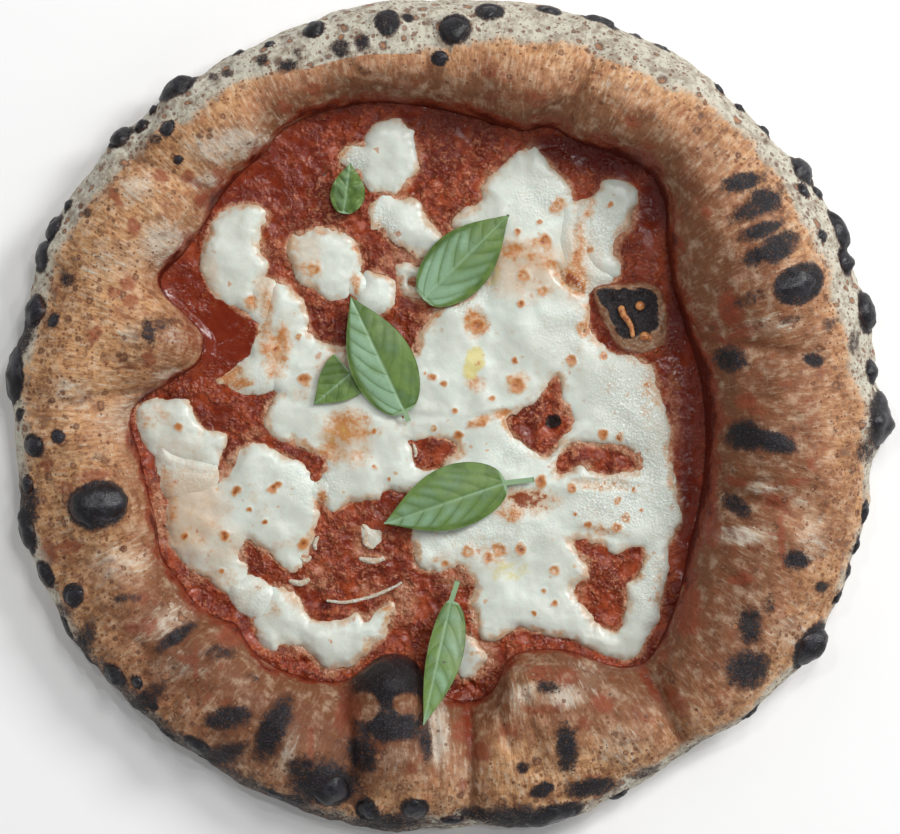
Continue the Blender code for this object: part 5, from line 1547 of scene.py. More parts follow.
        # Char along the south-west edge of the rim: partly burnt dough and partly painted shade on the side
        # away from the light.
        char = np.maximum(char, 0.62 * south_west * ease(-9, -1, radius - edge) * outer)
        for px, py, half_length, half_width in BLISTERS + SMALL_BLISTERS:
            place, along, up, out = dough.skin_frame(px, py)
            sides = (flat - place) @ np.array([along, up, out]).T / (half_length, half_width, half_width)
            char = np.maximum(char, 1 - ease(0.9, 1.25, np.linalg.norm(sides, axis=1)))
        climb = Round(SAUCE_CLIMB, 6).at(angle) * (1 + 0.45 * self.grain.layers(flat + 260, 9))
        sauce = 1.35 * (1 - ease(0.25, 1.25, (z - dough.base_thickness) / np.maximum(climb, 2)))
        foot = 1 - ease(0.1, 1.2, (radius - well) / (1 + 0.36 * climb))
        sauce = np.maximum(sauce, foot * (0.8 + 0.7 * self.grain.layers(flat + 290, 8)))
        sauce = np.where(outer, 0, sauce)
        sauce = np.maximum(sauce, 0.8 * ovals(x, y, SMEAR_MARKS, 0.6))
        spots = 0.16 + 0.42 * ease(0.35, 0.9, share) + 0.16 * ease(110, 150, np.abs(angle))
        spots = np.where(flour > 0.3, 0.74, spots) * np.where(share < 0.1, 0, 1)
        spots = np.where(under, 0.5, spots)
        # The cream value carries the painted highlight.
        cream = ovals(x, y, PAINTED_HIGHLIGHT_MARKS, 0.7)
        rust = ovals(x, y, RUST_MARKS, 0.6) * (1 - under)
        west = ease(100, 150, np.abs(angle)) * (1 - south_west)
        east = 1 - ease(20, 70, np.abs(angle + 20))
        south = 1 - ease(8, 24, np.abs(angle + 84))
        north = 1 - ease(15, 40, np.abs(angle - 80))
        # Painted light and shade: the tone is low at the foot of the inner wall, raised on the west, south
        # and north, and lowered on the east and south-west.
        tone = ease(0, 0.9, share + 0.03 * wander + 0.42 * west - 0.2 * east
                           - 0.3 * south_west + 0.16 * south + 0.12 * north)
        along = np.linalg.norm(np.diff(points, axis=0, prepend=points[:1]), axis=-1).cumsum(axis=0)
        bearing = np.radians(angle)
        streak = np.stack([150 * np.cos(bearing), 150 * np.sin(bearing), 0.32 * along.ravel()], axis=1)
        # Painted shade in the folds: the skin is made browner along them, and darkened with sauce near the
        # well.
        for start, end, half_width, depth in FOLDS:
            fold = np.exp(-((along_line(x, y, start, end) / (0.45 * half_width)) ** 2)) * (1 - under)
            brown = np.maximum(brown, min(0.25 * depth, 1) * fold)
            sauce = np.maximum(sauce, 0.16 * depth * fold * (1 - ease(0.2, 0.75, share)))
        return {"flour": flour, "brown": brown, "char": char, "sauce": sauce, "spots": spots,
                "cream": cream, "rust": rust, "tone": tone, "streak": streak * MM}

    def build(self) -> Piece:
        """Makes the crust, closed by a fan at each middle.

        Returns:
            The piece.
        """
        points = self.surface()
        values = self.marks(points)
        rows, columns = points.shape[:2]
        flat = points.reshape(-1, 3)
        poles = np.array([(0, 0, self.dough.base_thickness), (0, 0, 0)], float)
        first, count = np.arange(columns), rows * columns
        faces = [grid_faces(rows, columns, Turn.CLOSED), fan_faces(count, first, True),
                 fan_faces(count + 1, count - columns + first, False)]
        values = {label: np.concatenate([numbers, numbers[:1], numbers[-1:]])
                  for label, numbers in values.items()}
        mesh = build_mesh("baked_crust", np.concatenate([flat, poles]), faces, values)
        return add_piece(mesh, BakedDough().material(), Slot.CRUST, "crust")


def ball(rows: int, columns: int) -> tuple[Array, list]:
    """A closed ball of radius 1.

    Args:
        rows: The rings between its two poles.
        columns: The points of a ring.

    Returns:
        The points, and the faces. A point is the sine of its polar angle times the ring's cosine
        and sine, and the cosine of that angle, from the lower pole up.
    """
    polar = np.pi * (1 - (np.arange(rows) + 1) / (rows + 1))
    turn = np.arange(columns) * 2 * np.pi / columns
    ring = np.stack([np.sin(polar)[:, None] * np.cos(turn), np.sin(polar)[:, None] * np.sin(turn),
                     np.cos(polar)[:, None] * np.ones(columns)], axis=-1).reshape(-1, 3)
    points = np.concatenate([ring, [(0, 0, -1), (0, 0, 1)]])
    lower, count = np.arange(columns), rows * columns
    return points, [grid_faces(rows, columns, Turn.CLOSED)[:, ::-1], fan_faces(count, lower, False),
                    fan_faces(count + 1, count - columns + lower, True)]


@dataclass
class CharBlisters:
    """The burnt blisters that stand off the rim, in one mesh of many closed eggs."""

    dough: Dough
    rows: int = 15
    columns: int = 24
    rise_on_crown: float = 0.6
    rise_on_side: float = 1.1
    sunk: float = 0.25
    taper: float = 0.28
    grain: Grain = field(default_factory=lambda: Grain(23))

    def build(self) -> Piece:
        """Makes the blisters: a ball dimpled, and stretched along the rim, up its slope and out.

        Returns:
            The piece.
        """
        unit, faces = ball(self.rows, self.columns)
        points, made, brown = [], [], []
        for number, (x, y, half_length, half_width) in enumerate(BLISTERS + SMALL_BLISTERS):
            place, along, up, out = self.dough.skin_frame(x, y)
            share = self.rise_on_side + (self.rise_on_crown - self.rise_on_side) * max(out[2], 0)
            rise = min(half_length, half_width) * share
            dimple = (1 + 0.14 * self.grain.at(unit * 1.7 + 9.7 * number, 1)
                      + 0.06 * self.grain.at(unit * 4 + 3.1 * number, 1))
            narrow = 1 - self.taper * np.clip(unit[:, 1] + 0.2, 0, None)
            shape = unit * dimple[:, None] * np.array([half_length, half_width, rise])
            shape[:, 0] *= narrow
            points.append(place - out * rise * self.sunk + shape @ np.array([along, up, out]))
            made += [part + number * len(unit) for part in faces]
            brown.append(1 - ease(0, 0.75, unit[:, 2]))
        mesh = build_mesh("char_blisters", np.concatenate(points), made, {"brown": np.concatenate(brown)})
        return add_piece(mesh, Charcoal().material(), Slot.CRUST, "crust")


@dataclass
class FloorBubble:
    """The bubble of dough that has risen through the cheese and burnt, with drops of oil on it."""

    dough: Dough
    height: float = 7.3
    foot_height: float = 0.5
    rows: int = 46
    columns: int = 150
    middle: tuple = (65.0, 36.0)
    grain: Grain = field(default_factory=lambda: Grain(31))

    def build(self) -> Piece:
        """Makes the dome as wrinkled rings, whose height is 1 less a power of the share of the way out.

        Returns:
            The piece.
        """
        turn = np.arange(self.columns) * 2 * np.pi / self.columns
        loop = smooth_loop(BUBBLE_FOOT, 1)
        away = loop - self.middle
        bearing = np.degrees(np.arctan2(away[:, 1], away[:, 0])) % 360
        reach = Round(list(zip(bearing, np.hypot(*away.T))), 3).at(np.degrees(turn))
        share = np.linspace(0, 1, self.rows + 1)[1:, None]
        x = self.middle[0] + share * reach * np.cos(turn)
        y = self.middle[1] + share * reach * np.sin(turn)
        flat = plan_points(x, y)
        rise = np.clip(1 - share**2.6, 0, None) * np.ones_like(x)
        dark = depth_inside(smooth_loop(BUBBLE_DARK, 1), x.ravel(), y.ravel()).reshape(x.shape)
        dark = dark + 0.9 * self.grain.layers(flat + 60, 3.5).reshape(x.shape)
        wrinkle = 0.6 * self.grain.layers(flat, 3.6).reshape(x.shape) * ease(0, 0.4, rise)
        lip = 0.8 * np.exp(-((dark / 1.3) ** 2))
        z = self.dough.base_thickness + self.height * rise + wrinkle + lip * ease(0, 0.3, rise)
        z = z - 1.3 * ease(0, 4, dark)
        rings = np.stack([x, y, z], axis=-1)
        points, faces = closed_rings(rings, z[0].mean(), self.foot_height, self.middle)
        values = {"char": ease(-0.9, 0.9, dark), "sauce": ease(0.72, 0.98, share * np.ones_like(x))}
        values = {label: np.append(numbers, np.ones(2 + self.columns)) for label, numbers in values.items()}
        plain = {"brown": 0.12, "spots": 0, "flour": 0, "cream": 0.4, "rust": 0, "tone": 0.62}
        values |= {label: np.full(len(points), number) for label, number in plain.items()}
        mesh = build_mesh("floor_bubble", points, faces, {**values, "streak": points * MM})
        obj = add_piece(mesh, bpy.data.materials["baked_dough"], Slot.CRUST, "crust")
        self.drops(rings.reshape(-1, 3))
        return obj

    def drops(self, skin: Array) -> Piece:
        """Makes the strand and the drops of oil as overlapping balls that follow the bubble's skin.

        Args:
            skin: The points of the bubble's rings.

        Returns:
            The piece.
        """
        unit, faces = ball(9, 14)
        path = np.array(BUBBLE_STRAND)
        lengths = np.concatenate([[0], np.cumsum(np.linalg.norm(np.diff(path, axis=0), axis=1))])
        steps = np.linspace(0, lengths[-1], 16)
        strand = np.stack([np.interp(steps, lengths, path[:, 0]), np.interp(steps, lengths, path[:, 1]),
                           np.interp(steps, (0, lengths[-1]), (1.3, 0.85))], axis=1)
        places = np.concatenate([strand, BUBBLE_DROPS])
        points, made = [], []
        for number, (x, y, radius) in enumerate(places):
            nearest = np.argmin(np.hypot(skin[:, 0] - x, skin[:, 1] - y))
            points.append(unit * radius * (1, 1, 0.8) + (x, y, skin[nearest, 2] + 0.3 * radius))
            made += [part + number * len(unit) for part in faces]
        mesh = build_mesh("oil_drops", np.concatenate(points), made, {})
        return add_piece(mesh, OilDrop().material(), Slot.CRUST)


@dataclass
class Sauce:
    """The tomato sauce: a grainy layer on the base that meets the foot of the inner wall."""

    dough: Dough
    bottom: float = 3.5
    top: float = 4.6
    overlap: float = 1.6
    turn_steps: int = 760
    rows: int = 112
    grain: Grain = field(default_factory=lambda: Grain(47))

    def build(self) -> Piece:
        """Makes the layer on rings that crowd towards the rim, with swells and lumps of three sizes.

        Returns:
            The piece.
        """
        turn = np.arange(self.turn_steps) * 2 * np.pi / self.turn_steps
        reach = self.dough.well.at(np.degrees(turn)) + self.overlap
        share = np.linspace(0, 1, self.rows + 1)[1:, None] ** 0.8
        x, y = share * reach * np.cos(turn), share * reach * np.sin(turn)
        flat = plan_points(x, y)
        px, py = flat[:, 0], flat[:, 1]
        pool = ovals(px, py, POOL_MARKS, 0.6)
        lumps = np.maximum(0.25, ovals(px, py, LUMP_MARKS, 0.6))
        near = np.max([inside_cheese(node, px, py, 5) for node in CHEESE], axis=0)
        reach_out = np.clip(2.8 + 3.2 * self.grain.at(flat + 140, 11), 0.6, None)
        film = np.maximum(0.9 * ease(-1, -0.1, near / reach_out), ovals(px, py, FILM_MARKS, 0.7))
        relief = (0.35 * self.grain.at(flat, 8) + (0.35 + 0.6 * lumps) * self.grain.at(flat + 50, 3.4)
                  + 0.35 * self.grain.at(flat + 90, 1.7)) * (1 - 0.85 * pool)
        climb = 1.4 * ease(-5, 1, share * reach - reach + self.overlap).ravel()
        rings = np.stack([px, py, self.top + relief + climb], axis=1).reshape(*x.shape, 3)
        points, faces = closed_rings(rings, rings[0, 0, 2], self.bottom)
        values = {"pool": pool, "lumps": lumps, "shade": ovals(px, py, SHADE_MARKS, 0.7), "film": film,
                  "char": ovals(px, py, SAUCE_CHAR, 0.6)}
        ends = np.zeros(2 + self.turn_steps)
        values = {label: np.append(numbers, ends) for label, numbers in values.items()}
        mesh = build_mesh("sauce_layer", points, faces, values)
        return add_piece(mesh, Tomato().material(), Slot.SAUCE, "tomato_sauce")


def fill_corners(kept: Array) -> Array:
    """The kept cells of a grid, with cells added wherever two meet only at a corner.

    Args:
        kept: Which cells are kept.

    Returns:
        Which cells are kept then.
    """
    kept = kept.copy()
    for _ in range(4):
        a, b, c, d = kept[:-1, :-1], kept[:-1, 1:], kept[1:, :-1], kept[1:, 1:]
        touching = (a & d & ~b & ~c) | (b & c & ~a & ~d)
        for part in (a, b, c, d):
            part |= touching
    return kept


def plan_grid(corners: Array, margin: float, cell: float) -> list[Array]:
    """A square grid over some corners.

    Args:
        corners: Rows of x, y.
        margin: How far the grid reaches past them.
        cell: The distance between its points.

    Returns:
        The grid's x and its y.
    """
    (left, front), (right, back) = corners.min(axis=0) - margin, corners.max(axis=0) + margin
    return np.meshgrid(np.arange(left, right, cell), np.arange(front, back, cell))


def slab(name: str, x: Array, y: Array, top: Array, bottom: float, inside: Array,
         values: dict[str, Array]) -> Mesh:
    """A closed slab over the cells of a square grid whose four points lie inside.

    Args:
        name: The mesh's name.
        x, y, top: Grids of each point's place and of the slab's upper height there.
        bottom: The height of the slab's flat underside.
        inside: Which points lie inside.
        values: The named numbers of the points.

    Returns:
        The mesh: an upper and a lower sheet of four-sided faces, and a wall along each open side.
    """
    rows, columns = x.shape
    inside = inside.reshape(x.shape)
    kept = fill_corners(inside[:-1, :-1] & inside[1:, :-1] & inside[:-1, 1:] & inside[1:, 1:])
    faces = grid_faces(rows, columns)[kept.ravel()]
    used = np.unique(faces)
    number = np.full(rows * columns, -1)
    number[used] = np.arange(len(used))
    upper = number[faces]
    edges = np.stack([upper, np.roll(upper, -1, axis=1)], axis=-1).reshape(-1, 2)
    total = len(used)
    keys = edges[:, 0] * total + edges[:, 1]
    lone = ~np.isin(keys, edges[:, 1] * total + edges[:, 0])
    start, end = edges[lone].T
    walls = np.stack([end, start, start + total, end + total], axis=1)
    flat = np.stack([x.ravel()[used], y.ravel()[used], top.ravel()[used]], axis=1)
    under = flat * (1, 1, 0) + (0, 0, bottom)
    doubled = {label: np.tile(numbers.ravel()[used], 2) for label, numbers in values.items()}
    return build_mesh(name, np.concatenate([flat, under]), [upper, upper[:, ::-1] + total, walls], doubled)


@dataclass
class Mozzarella:
    """One melted piece of mozzarella, whose edge sinks into the sauce."""

    node: str
    material: Material
    bottom: float = 3.7
    low: float = 3.9
    rise: float = 2.7
    border: float = 1.1
    lip: float = 2.3
    crisp: float = 1.0
    cell: float = 0.55
    grain: Grain = field(default_factory=lambda: Grain(59))

    def depth(self, x: Array, y: Array) -> Array:
        """How deep each place lies inside the outline and outside the windows, on a wavy plan.

        Args:
            x, y: The places in plan.

        Returns:
            The depth, with a fine noise on it.
        """
        flat = plan_points(x, y)
        sway = 1.2 * self.grain.at(flat, 6) + 0.6 * self.grain.at(flat + 30, 2.6)
        swerve = 1.2 * self.grain.at(flat + 60, 6) + 0.6 * self.grain.at(flat + 90, 2.6)
        px, py = x.ravel() + sway, y.ravel() + swerve
        return inside_cheese(self.node, px, py, 2) + 0.35 * self.grain.at(flat + 150, 1.5)

    def build(self) -> Piece:
        """Makes the piece: a height that rises from the sauce with the depth, with swells and bubbles.

        The rise is 1 less the exponential of the depth over the lip. Thin places sink towards the
        sauce, and a browned spot is a low swelling with a hollow in its middle.

        Returns:
            The piece.
        """
        x, y = plan_grid(np.array(CHEESE[self.node], float), 3, self.cell)
        depth = self.depth(x, y)
        flat = plan_points(x, y)
        px, py = flat[:, 0], flat[:, 1]
        thin = ovals(px, py, THIN_MARKS, 0.7)
        spot, ring = np.zeros_like(px), np.zeros_like(px)
        wobble_x, wobble_y = 0.7 * self.grain.at(flat + 330, 1.8), 0.7 * self.grain.at(flat + 360, 1.8)
        for middle_x, middle_y, half_width, *hollow in CHEESE_SPOTS:
            distance = np.hypot(px + wobble_x - middle_x, py + wobble_y - middle_y) / half_width
            mark = 1 - ease(0.2, 1.7, distance)
            if hollow:
                mark = mark * (0.45 + 0.55 * ease(0.2, 0.75, distance))
            spot = np.maximum(spot, mark)
            ring = np.maximum(ring, np.exp(-(((distance - 0.9) / 0.35) ** 2)))
        swells = (0.9 * self.grain.at(flat + 210, 14) + 0.5 * self.grain.at(flat + 240, 6)
                  + 0.12 * self.grain.at(flat + 270, 2.4))
        rising = 1 - np.exp(-np.clip(depth + self.border, 0, None) / self.lip)
        z = self.low + rising * (self.rise + swells - 1.9 * thin) + 0.25 * ring * rising
        alone = 1 - ease(-2.5, 1.5, film_depth(px, py))
        edge = alone * (1 - ease(0, 4.5, depth))
        ragged = 0.5 + 0.9 * self.grain.layers(flat + 300, 9)
        soft = self.crisp * np.clip(3 + 3.4 * self.grain.at(flat + 390, 10), 0.6, None)
        values = {
            "cream": np.maximum(ovals(px, py, CREAM_MARKS, 0.7), 0.85 * edge * np.clip(ragged + 0.3, 0, 1)),
            "stain": np.maximum(ovals(px, py, STAIN_MARKS, 0.7), 0.75 * edge * np.clip(ragged, 0, 1)),
            "spot": spot, "oil": ovals(px, py, OIL_MARKS, 0.5), "wet": ovals(px, py, WET_MARKS, 0.7),
            "thin": thin, "edge": alone * (1 - ease(-1, 1, depth / soft)),
        }
        mesh = slab(f"melted_{self.node}", x, y, z, self.bottom, depth > -self.border, values)
        return add_piece(mesh, self.material, Slot.MOZZARELLA, self.node)


@dataclass
class CheeseFilm:
    """The thin cheese that joins the pieces over the sauce, in one sheet that laps over their edges."""

    material: Material
    bottom: float = 3.9
    low: float = 4.0
    rise: float = 2.6
    lip: float = 3.0
    cell: float = 0.6
    grain: Grain = field(default_factory=lambda: Grain(83))

    def build(self) -> Piece:
        """Makes the sheet: a height that rises with the depth inside the outlines, and is uneven.

        The rise is 1 less the exponential of the depth over the lip, and less between the pieces.

        Returns:
            The piece.
        """
        corners = np.array([point for outline in FILM_SHEETS for point in outline], float)
        x, y = plan_grid(corners, 2, self.cell)
        flat = plan_points(x, y)
        sway, swerve = 1.3 * self.grain.at(flat, 7), 1.3 * self.grain.at(flat + 70, 7)
        px, py = x.ravel() + sway, y.ravel() + swerve
        depth = film_depth(px, py)
        near = np.max([inside_cheese(node, flat[:, 0], flat[:, 1], 4) for node in CHEESE], axis=0)
        rising = 1 - np.exp(-np.clip(depth, 0, None) / self.lip)
        z = self.low + rising * (self.rise - 0.5 * ease(0, -3, near)
                                 + 0.5 * self.grain.at(flat + 140, 7))
        zeros, between = np.zeros_like(px), 1 - ease(-1.5, 1, near)
        values = {
            "cream": np.maximum(ovals(px, py, CREAM_MARKS, 0.7), 0.55 * between), "spot": zeros, "oil": zeros,
            "thin": ovals(px, py, THIN_MARKS, 0.7),
            "stain": np.maximum(ovals(px, py, STAIN_MARKS, 0.7),
                                between * (0.2 + 0.5 * self.grain.at(flat + 210, 9))),
            "wet": 0.7 * ovals(px, py, WET_MARKS, 0.7) + 0.2,
            "edge": (1 - ease(-0.2, 2, depth)) * between,
        }
        mesh = slab("cheese_film", x, y, z, self.bottom, depth > 0, values)
        return add_piece(mesh, self.material, Slot.MOZZARELLA)


@dataclass
class CheeseStrands:
    """Thin strands of cheese that cross the sauce, in one mesh."""

    material: Material
    height: float = 4.75
    sides: int = 10

    def build(self) -> Piece:
        """Makes each strand as a row of overlapping balls that taper to its ends.

        Returns:
            The piece.
        """
        unit, faces = ball(7, self.sides)
        points, made, count = [], [], 0
        for path, half_width in STRANDS:
            given = smooth_loop(path, 1, Turn.OPEN)
            lengths = np.concatenate([[0], np.cumsum(np.linalg.norm(np.diff(given, axis=0), axis=1))])
            steps = np.arange(0, lengths[-1], 0.45 * half_width)
            width = half_width * (0.65 + 0.35 * np.sin(np.pi * steps / lengths[-1]))
            for x, y, reach in zip(np.interp(steps, lengths, given[:, 0]),
                                   np.interp(steps, lengths, given[:, 1]), width):
                points.append(unit * reach * (1, 1, 0.7) + (x, y, self.height))
                made += [part + count * len(unit) for part in faces]
                count += 1
        plain = {"cream": 0.9, "stain": 0.4, "spot": 0, "oil": 0, "wet": 0.8, "thin": 0.2, "edge": 0}
        values = {label: np.full(count * len(unit), number) for label, number in plain.items()}
        mesh = build_mesh("cheese_strands", np.concatenate(points), made, values)
        return add_piece(mesh, self.material, Slot.MOZZARELLA)


@dataclass
class BasilLeaf:
    """One basil leaf, with its midrib, side veins and stem."""

    node: str
    dough: Dough
    base: tuple
    tip: tuple
    widths: tuple
    arch: tuple
    bend: float
    ripple: float
    hidden: float = 0.0
    stem: tuple = None
    # How strong the painted sheen is on each half, as the light falls on it.
    pale: tuple = (1.0, 1.0)
    pale_ends: tuple = (1.0, 1.0)
    veins: int = 6
    crumple: float = 0.0
    thickness: float = 0.5
    over_toppings: float = 0.7
    over_dough: float = 2.0
    toppings: float = 7.0
    rows: int = 96
    columns: int = 49
    stem_rows: int = 14
    stem_half_width: float = 0.9
    grain: Grain = field(default_factory=lambda: Grain(71))

    def surface(self) -> tuple[Array, dict[str, Array]]:
        """The leaf's middle surface.

        Returns:
            The grid of points, from the stem to the tip and side to side, and its named numbers.
            The half-width is the sine of pi times the way along to the power 0.76, to a power that
            grows from blunt to pointed. The heights are an arch whose edges bend down, lifted
            where it would touch, with bulges between the veins and furrows along them. A vein lies
            wherever the way along, less a curve of the way out, is a whole number of vein steps.
        """
        base, tip = np.array(self.base, float), np.array(self.tip, float)
        u = np.linspace(0, 1, self.rows)
        blade = self.hidden + (1 - self.hidden) * u
        swell = np.sin(math.pi * blade**0.76).clip(0) ** (0.55 + 0.5 * blade)
        sides = np.array([np.maximum(width * swell, 0.25) for width in self.widths])
        middle = base + (tip - base) * u[:, None]
        arch = np.interp(u, np.linspace(0, 1, len(self.arch)), self.arch)
        arch = np.convolve(np.pad(arch, 8, mode="edge"), np.ones(17) / 17, mode="valid")
        if self.stem is not None:
            end = np.array(self.stem, float)
            stem = end + (base - end) * np.linspace(0, 1, self.stem_rows, endpoint=False)[:, None]
            middle = np.concatenate([stem, middle])
            narrow = np.full((2, self.stem_rows), self.stem_half_width)
            sides = np.concatenate([narrow, np.maximum(sides, self.stem_half_width * (1 - u) ** 6)], axis=1)
            arch = np.concatenate([np.full(self.stem_rows, arch[0]), arch])
        run = np.gradient(middle, axis=0)
        across = np.stack([-run[:, 1], run[:, 0]], axis=1) / np.linalg.norm(run, axis=1)[:, None]
        v = np.linspace(-1, 1, self.columns)
        reach = np.where(v > 0, sides[0][:, None], sides[1][:, None]) * v
        plan = middle[:, None, :] + across[:, None, :] * reach[:, :, None]
        flat = plan_points(plan[:, :, 0], plan[:, :, 1])
        low = np.maximum(self.toppings + self.over_toppings,
                         self.dough.height(flat[:, 0], flat[:, 1]) + self.over_dough).reshape(reach.shape)
        spread = np.abs(reach) / max(self.widths)
        length = float(np.linalg.norm(tip - base))
        start = 0 if self.stem is None else self.stem_rows
        way = (np.arange(len(middle)) - start)[:, None] / (self.rows - 1) * length
        uneven = 1.6 * self.grain.at(flat + 130, 17).reshape(reach.shape)
        phase = (way - 0.8 * np.abs(reach) - 0.09 * reach**2 + uneven) * self.veins / length
        off = np.abs(phase - np.round(phase)) * length / self.veins
        on_blade = ease(0, 0.06 * length, way) * np.ones_like(reach)
        side_vein = np.exp(-((off / 0.42) ** 2)) * on_blade * (1 - ease(0.7, 1, np.abs(v)))
        midrib = np.exp(-((reach / 0.5) ** 2)) * (1 - 0.4 * way.clip(0) / length)
        bulge = np.sin(np.pi * (phase - np.floor(phase))) ** 2 * np.sin(np.pi * np.abs(v)) * on_blade
        wave = self.ripple * np.sin(np.linspace(0, 14, len(middle)))[:, None] * spread**1.5
        rough = self.crumple * self.grain.layers(flat + 20, 6).reshape(reach.shape) * on_blade
        rise = low.min() + arch[:, None] - self.bend * spread**2 + wave + rough
        z = np.maximum(rise, low) + 0.14 * bulge - 0.14 * side_vein - 0.35 * midrib * on_blade
        # Painted sheen: paler on one half and on the bulges between the veins.
        tone = np.where(v > 0, self.pale[0], self.pale[1]) * on_blade
        tone = tone * (1 - ease(0.7, 1, np.abs(v))) * (0.7 + 0.3 * bulge)
        tone = tone * np.interp(way / length, (0, 1), self.pale_ends)
        # Painted shade in the side veins' furrows, stronger on one half.
        furrow_shade = side_vein * np.where(v > 0, 1, 0.6)
        bruise = ease(0.74, 0.9, self.grain.at(flat + 77, 3.4).reshape(reach.shape)) * on_blade
        values = {"vein": np.where(on_blade > 0.5, midrib, 0.9), "furrow_shade": furrow_shade, "pale": tone,
                  "bruise": 0.7 * bruise}
        return np.concatenate([plan, z[:, :, None]], axis=2), values

    def build(self, material: Material) -> Piece:
        """Makes the leaf as an upper and a lower sheet, half its thickness from the middle surface.

        Args:
            material: The leaves' finish.

        Returns:
            The piece.
        """
        surface, values = self.surface()
        rows, columns = surface.shape[:2]
        out = np.cross(np.gradient(surface, axis=0), np.gradient(surface, axis=1))
        half = 0.5 * self.thickness * unit_length(out * np.where(out[..., 2:] < 0, -1, 1))
        points = np.concatenate([(surface + half).reshape(-1, 3), (surface - half).reshape(-1, 3)])
        count = rows * columns
        faces = grid_faces(rows, columns)
        rim = np.concatenate([np.arange(columns), np.arange(1, rows) * columns + columns - 1,
                              (rows - 1) * columns + np.arange(columns - 2, -1, -1),
                              np.arange(rows - 2, 0, -1) * columns])
        following = np.roll(rim, -1)
        wall = np.stack([rim + count, following + count, following, rim], axis=1)
        made = [faces, faces[:, ::-1] + count, wall]
        doubled = {label: np.tile(numbers.ravel(), 2) for label, numbers in values.items()}
        mesh = build_mesh(f"{self.node}_blade", points, made, doubled)
        return add_piece(mesh, material, Slot.BASIL, self.node)


def leaves(dough: Dough) -> list[BasilLeaf]:
    """The six basil leaves, each with its two ends, half-widths, arch, and the strength of its painted sheen.

    Args:
        dough: The form that they lie on.

    Returns:
        The leaves.
    """
    return [
        BasilLeaf("basil_leaf_small", dough, (-38, 72.7), (-35.5, 90.5), (5.5, 6.6), (0.4, 2, 3.2, 3, 2),
                  1.2, 0.8, pale=(0.45, 0.2), veins=4, crumple=1.3),
        BasilLeaf("basil_leaf_upper", dough, (-9.5, 42), (21, 72.2), (11.2, 11.3), (0.4, 2.2, 3.6, 3.2, 1),
                  2.4, 0.5, pale=(1, 0.8), pale_ends=(1.25, 0)),
        BasilLeaf("basil_leaf_middle", dough, (-16, 1.5), (-35.5, 43), (11.4, 11.5), (0.4, 3, 4.4, 3.6, 1),
                  2, 0.5, stem=(-14.8, -1.5), pale=(1, 0.3), pale_ends=(1.1, 0.7)),
        BasilLeaf("basil_leaf_lower_left", dough, (-35.3, 15.6), (-48.6, 4.5), (7.6, 9.2),
                  (0, 0.2, 0.5, 0.5, 0.1), 0.1, 0, hidden=0.36, pale=(0.15, 0.1), veins=3),
        BasilLeaf("basil_leaf_right", dough, (20, -23.5), (-23.5, -38), (10.2, 12.5), (0.6, 2.6, 3.8, 3.2, 1),
                  2.2, 0.5, stem=(30, -22.3), pale=(0.7, 0.5), pale_ends=(0.3, 1.3)),
        BasilLeaf("basil_leaf_bottom", dough, (0.5, -65.5), (-9.3, -108.5), (8.3, 4.3),
                  (0.6, 3.5, 8, 16, 24), 1.6, 0.3, stem=(2.8, -58.5), pale=(0.5, 0.35)),
    ]


# The lamps: place and side in metres, and power in watts.
LAMPS = {
    "key": ((1.25, 0.85, 1.15), 0.6, 21), "window": ((0.35, 0.75, 1.5), 0.35, 4.6),
    "glint_0": ((0.22, 0.34, 1.3), 0.045, 1.1), "glint_1": ((0.42, 0.05, 1.3), 0.045, 1.1),
    "glint_2": ((-0.25, 0.36, 1.3), 0.045, 1.1),
}


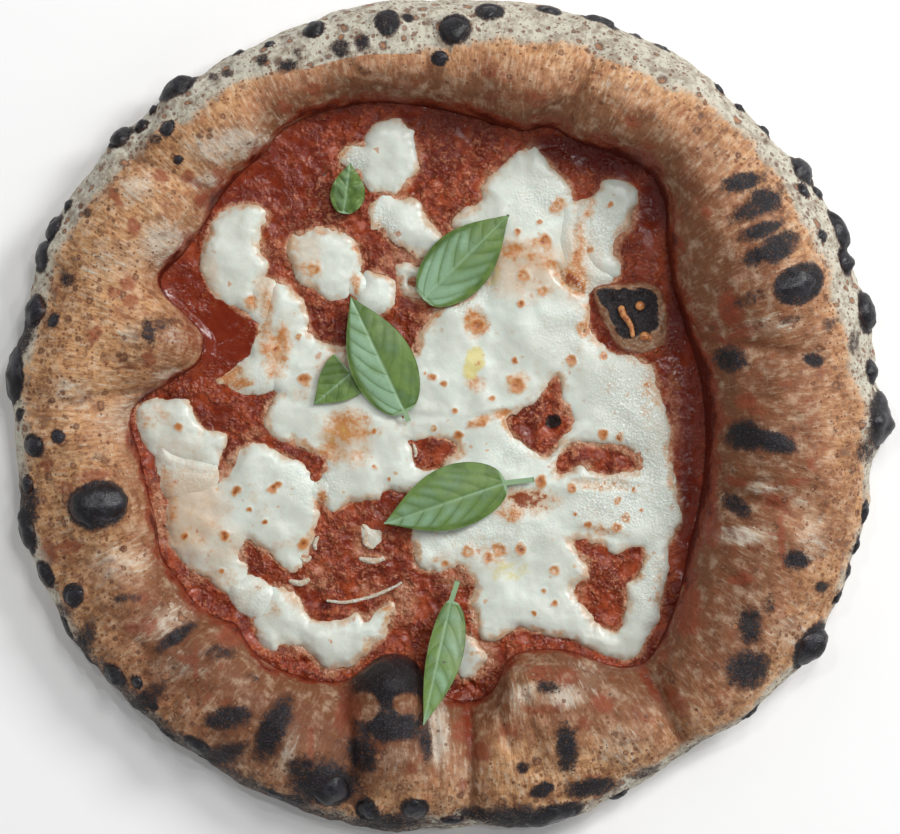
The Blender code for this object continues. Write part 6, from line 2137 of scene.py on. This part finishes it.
@dataclass
class Studio:
    """A pale floor, soft light from the upper right, and the camera straight above."""

    reach: float = 3.0
    camera_height: float = 1.5
    lens: float = 167.0
    sky_strength: float = 0.52
    sky_above: float = 0.06
    floor_colour: Colour = colour(255, 255, 255)

    def build(self) -> None:
        """Makes the floor, the sky, the lamps and the camera."""
        scene = bpy.context.scene
        mesh = bpy.data.meshes.new("floor")
        corners = [(self.reach * x, self.reach * y, 0) for x, y in ((-1, -1), (1, -1), (1, 1), (-1, 1))]
        mesh.from_pydata(corners, [], [(0, 1, 2, 3)])
        floor = bpy.data.objects.new("floor", mesh)
        floor.location.z = -0.0002
        scene.collection.objects.link(floor)
        ground = bpy.data.materials.new("floor")
        ground.use_nodes = True
        shader = ground.node_tree.nodes["Principled BSDF"]
        shader.inputs["Base Color"].default_value = self.floor_colour
        shader.inputs["Roughness"].default_value = 0.9
        mesh.materials.append(ground)
        floor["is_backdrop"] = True
        world = bpy.data.worlds.new("studio")
        world.use_nodes = True
        self.sky(world.node_tree)
        scene.world = world
        scene.view_settings.view_transform = "Standard"
        for name, (place, size, power) in LAMPS.items():
            self.lamp(name, place, size, power)
        camera = bpy.data.cameras.new("camera")
        camera.lens = self.lens
        camera.clip_end = 20
        obj = bpy.data.objects.new("camera", camera)
        obj.location = (0, 0, self.camera_height)
        scene.collection.objects.link(obj)
        scene.camera = obj

    def sky(self, tree: bpy.types.NodeTree) -> None:
        """Makes a white sky that darkens straight above, so that flat wet places don't look milky.

        Args:
            tree: The world's nodes.
        """
        place, parts = tree.nodes.new("ShaderNodeTexCoord"), tree.nodes.new("ShaderNodeSeparateXYZ")
        fade = tree.nodes.new("ShaderNodeMapRange")
        fade.interpolation_type = "SMOOTHSTEP"
        ends = {"From Min": 0.6, "From Max": 0.95, "To Min": self.sky_strength, "To Max": self.sky_above}
        for label, number in ends.items():
            fade.inputs[label].default_value = number
        tree.links.new(place.outputs["Generated"], parts.inputs[0])
        tree.links.new(parts.outputs["Z"], fade.inputs["Value"])
        tree.nodes["Background"].inputs["Color"].default_value = (1, 1, 1, 1)
        tree.links.new(fade.outputs["Result"], tree.nodes["Background"].inputs["Strength"])

    @staticmethod
    def lamp(name: str, place: tuple, size: float, power: float) -> None:
        """Makes one square lamp that faces the pizza.

        Args:
            name: The lamp's name.
            place: Where it stands, in metres.
            size: Its side, in metres.
            power: Its power in watts.
        """
        light = bpy.data.lights.new(name, "AREA")
        light.size = size
        light.energy = power
        obj = bpy.data.objects.new(name, light)
        obj.location = place
        aim = -np.array(place, float)
        flat = math.hypot(aim[0], aim[1])
        obj.rotation_euler = (math.atan2(flat, -aim[2]), 0, math.atan2(aim[1], aim[0]) - 0.5 * math.pi)
        bpy.context.scene.collection.objects.link(obj)


def write_sizes() -> None:
    """Logs the size of the solids' box and of the finished pizza's box, in millimetres."""
    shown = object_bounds()
    boxes = {"cad": [list(corner) for corner in CAD_BOX], "visual": [list(corner) for corner in shown]}
    for label, corners in boxes.items():
        size = [round(1000 * (high - low), 1) for low, high in zip(*corners)]
        LOG.info("%s box: %s mm", label, size)


def main() -> None:
    """Builds the pizza from its base up, and then the studio round it."""
    logging.basicConfig(level=logging.INFO, format="%(message)s", force=True)
    dough = Dough()
    Studio().build()
    Crust(dough).build()
    CharBlisters(dough).build()
    FloorBubble(dough).build()
    Sauce(dough).build()
    cheese = MeltedCheese().material()
    for node in CHEESE:
        Mozzarella(node, cheese, crisp=CRISP.get(node, 1)).build()
    CheeseFilm(cheese).build()
    CheeseStrands(cheese).build()
    basil = Leaf().material()
    for leaf in leaves(dough):
        leaf.build(basil)
    write_sizes()


if __name__ == "__main__":
    main()
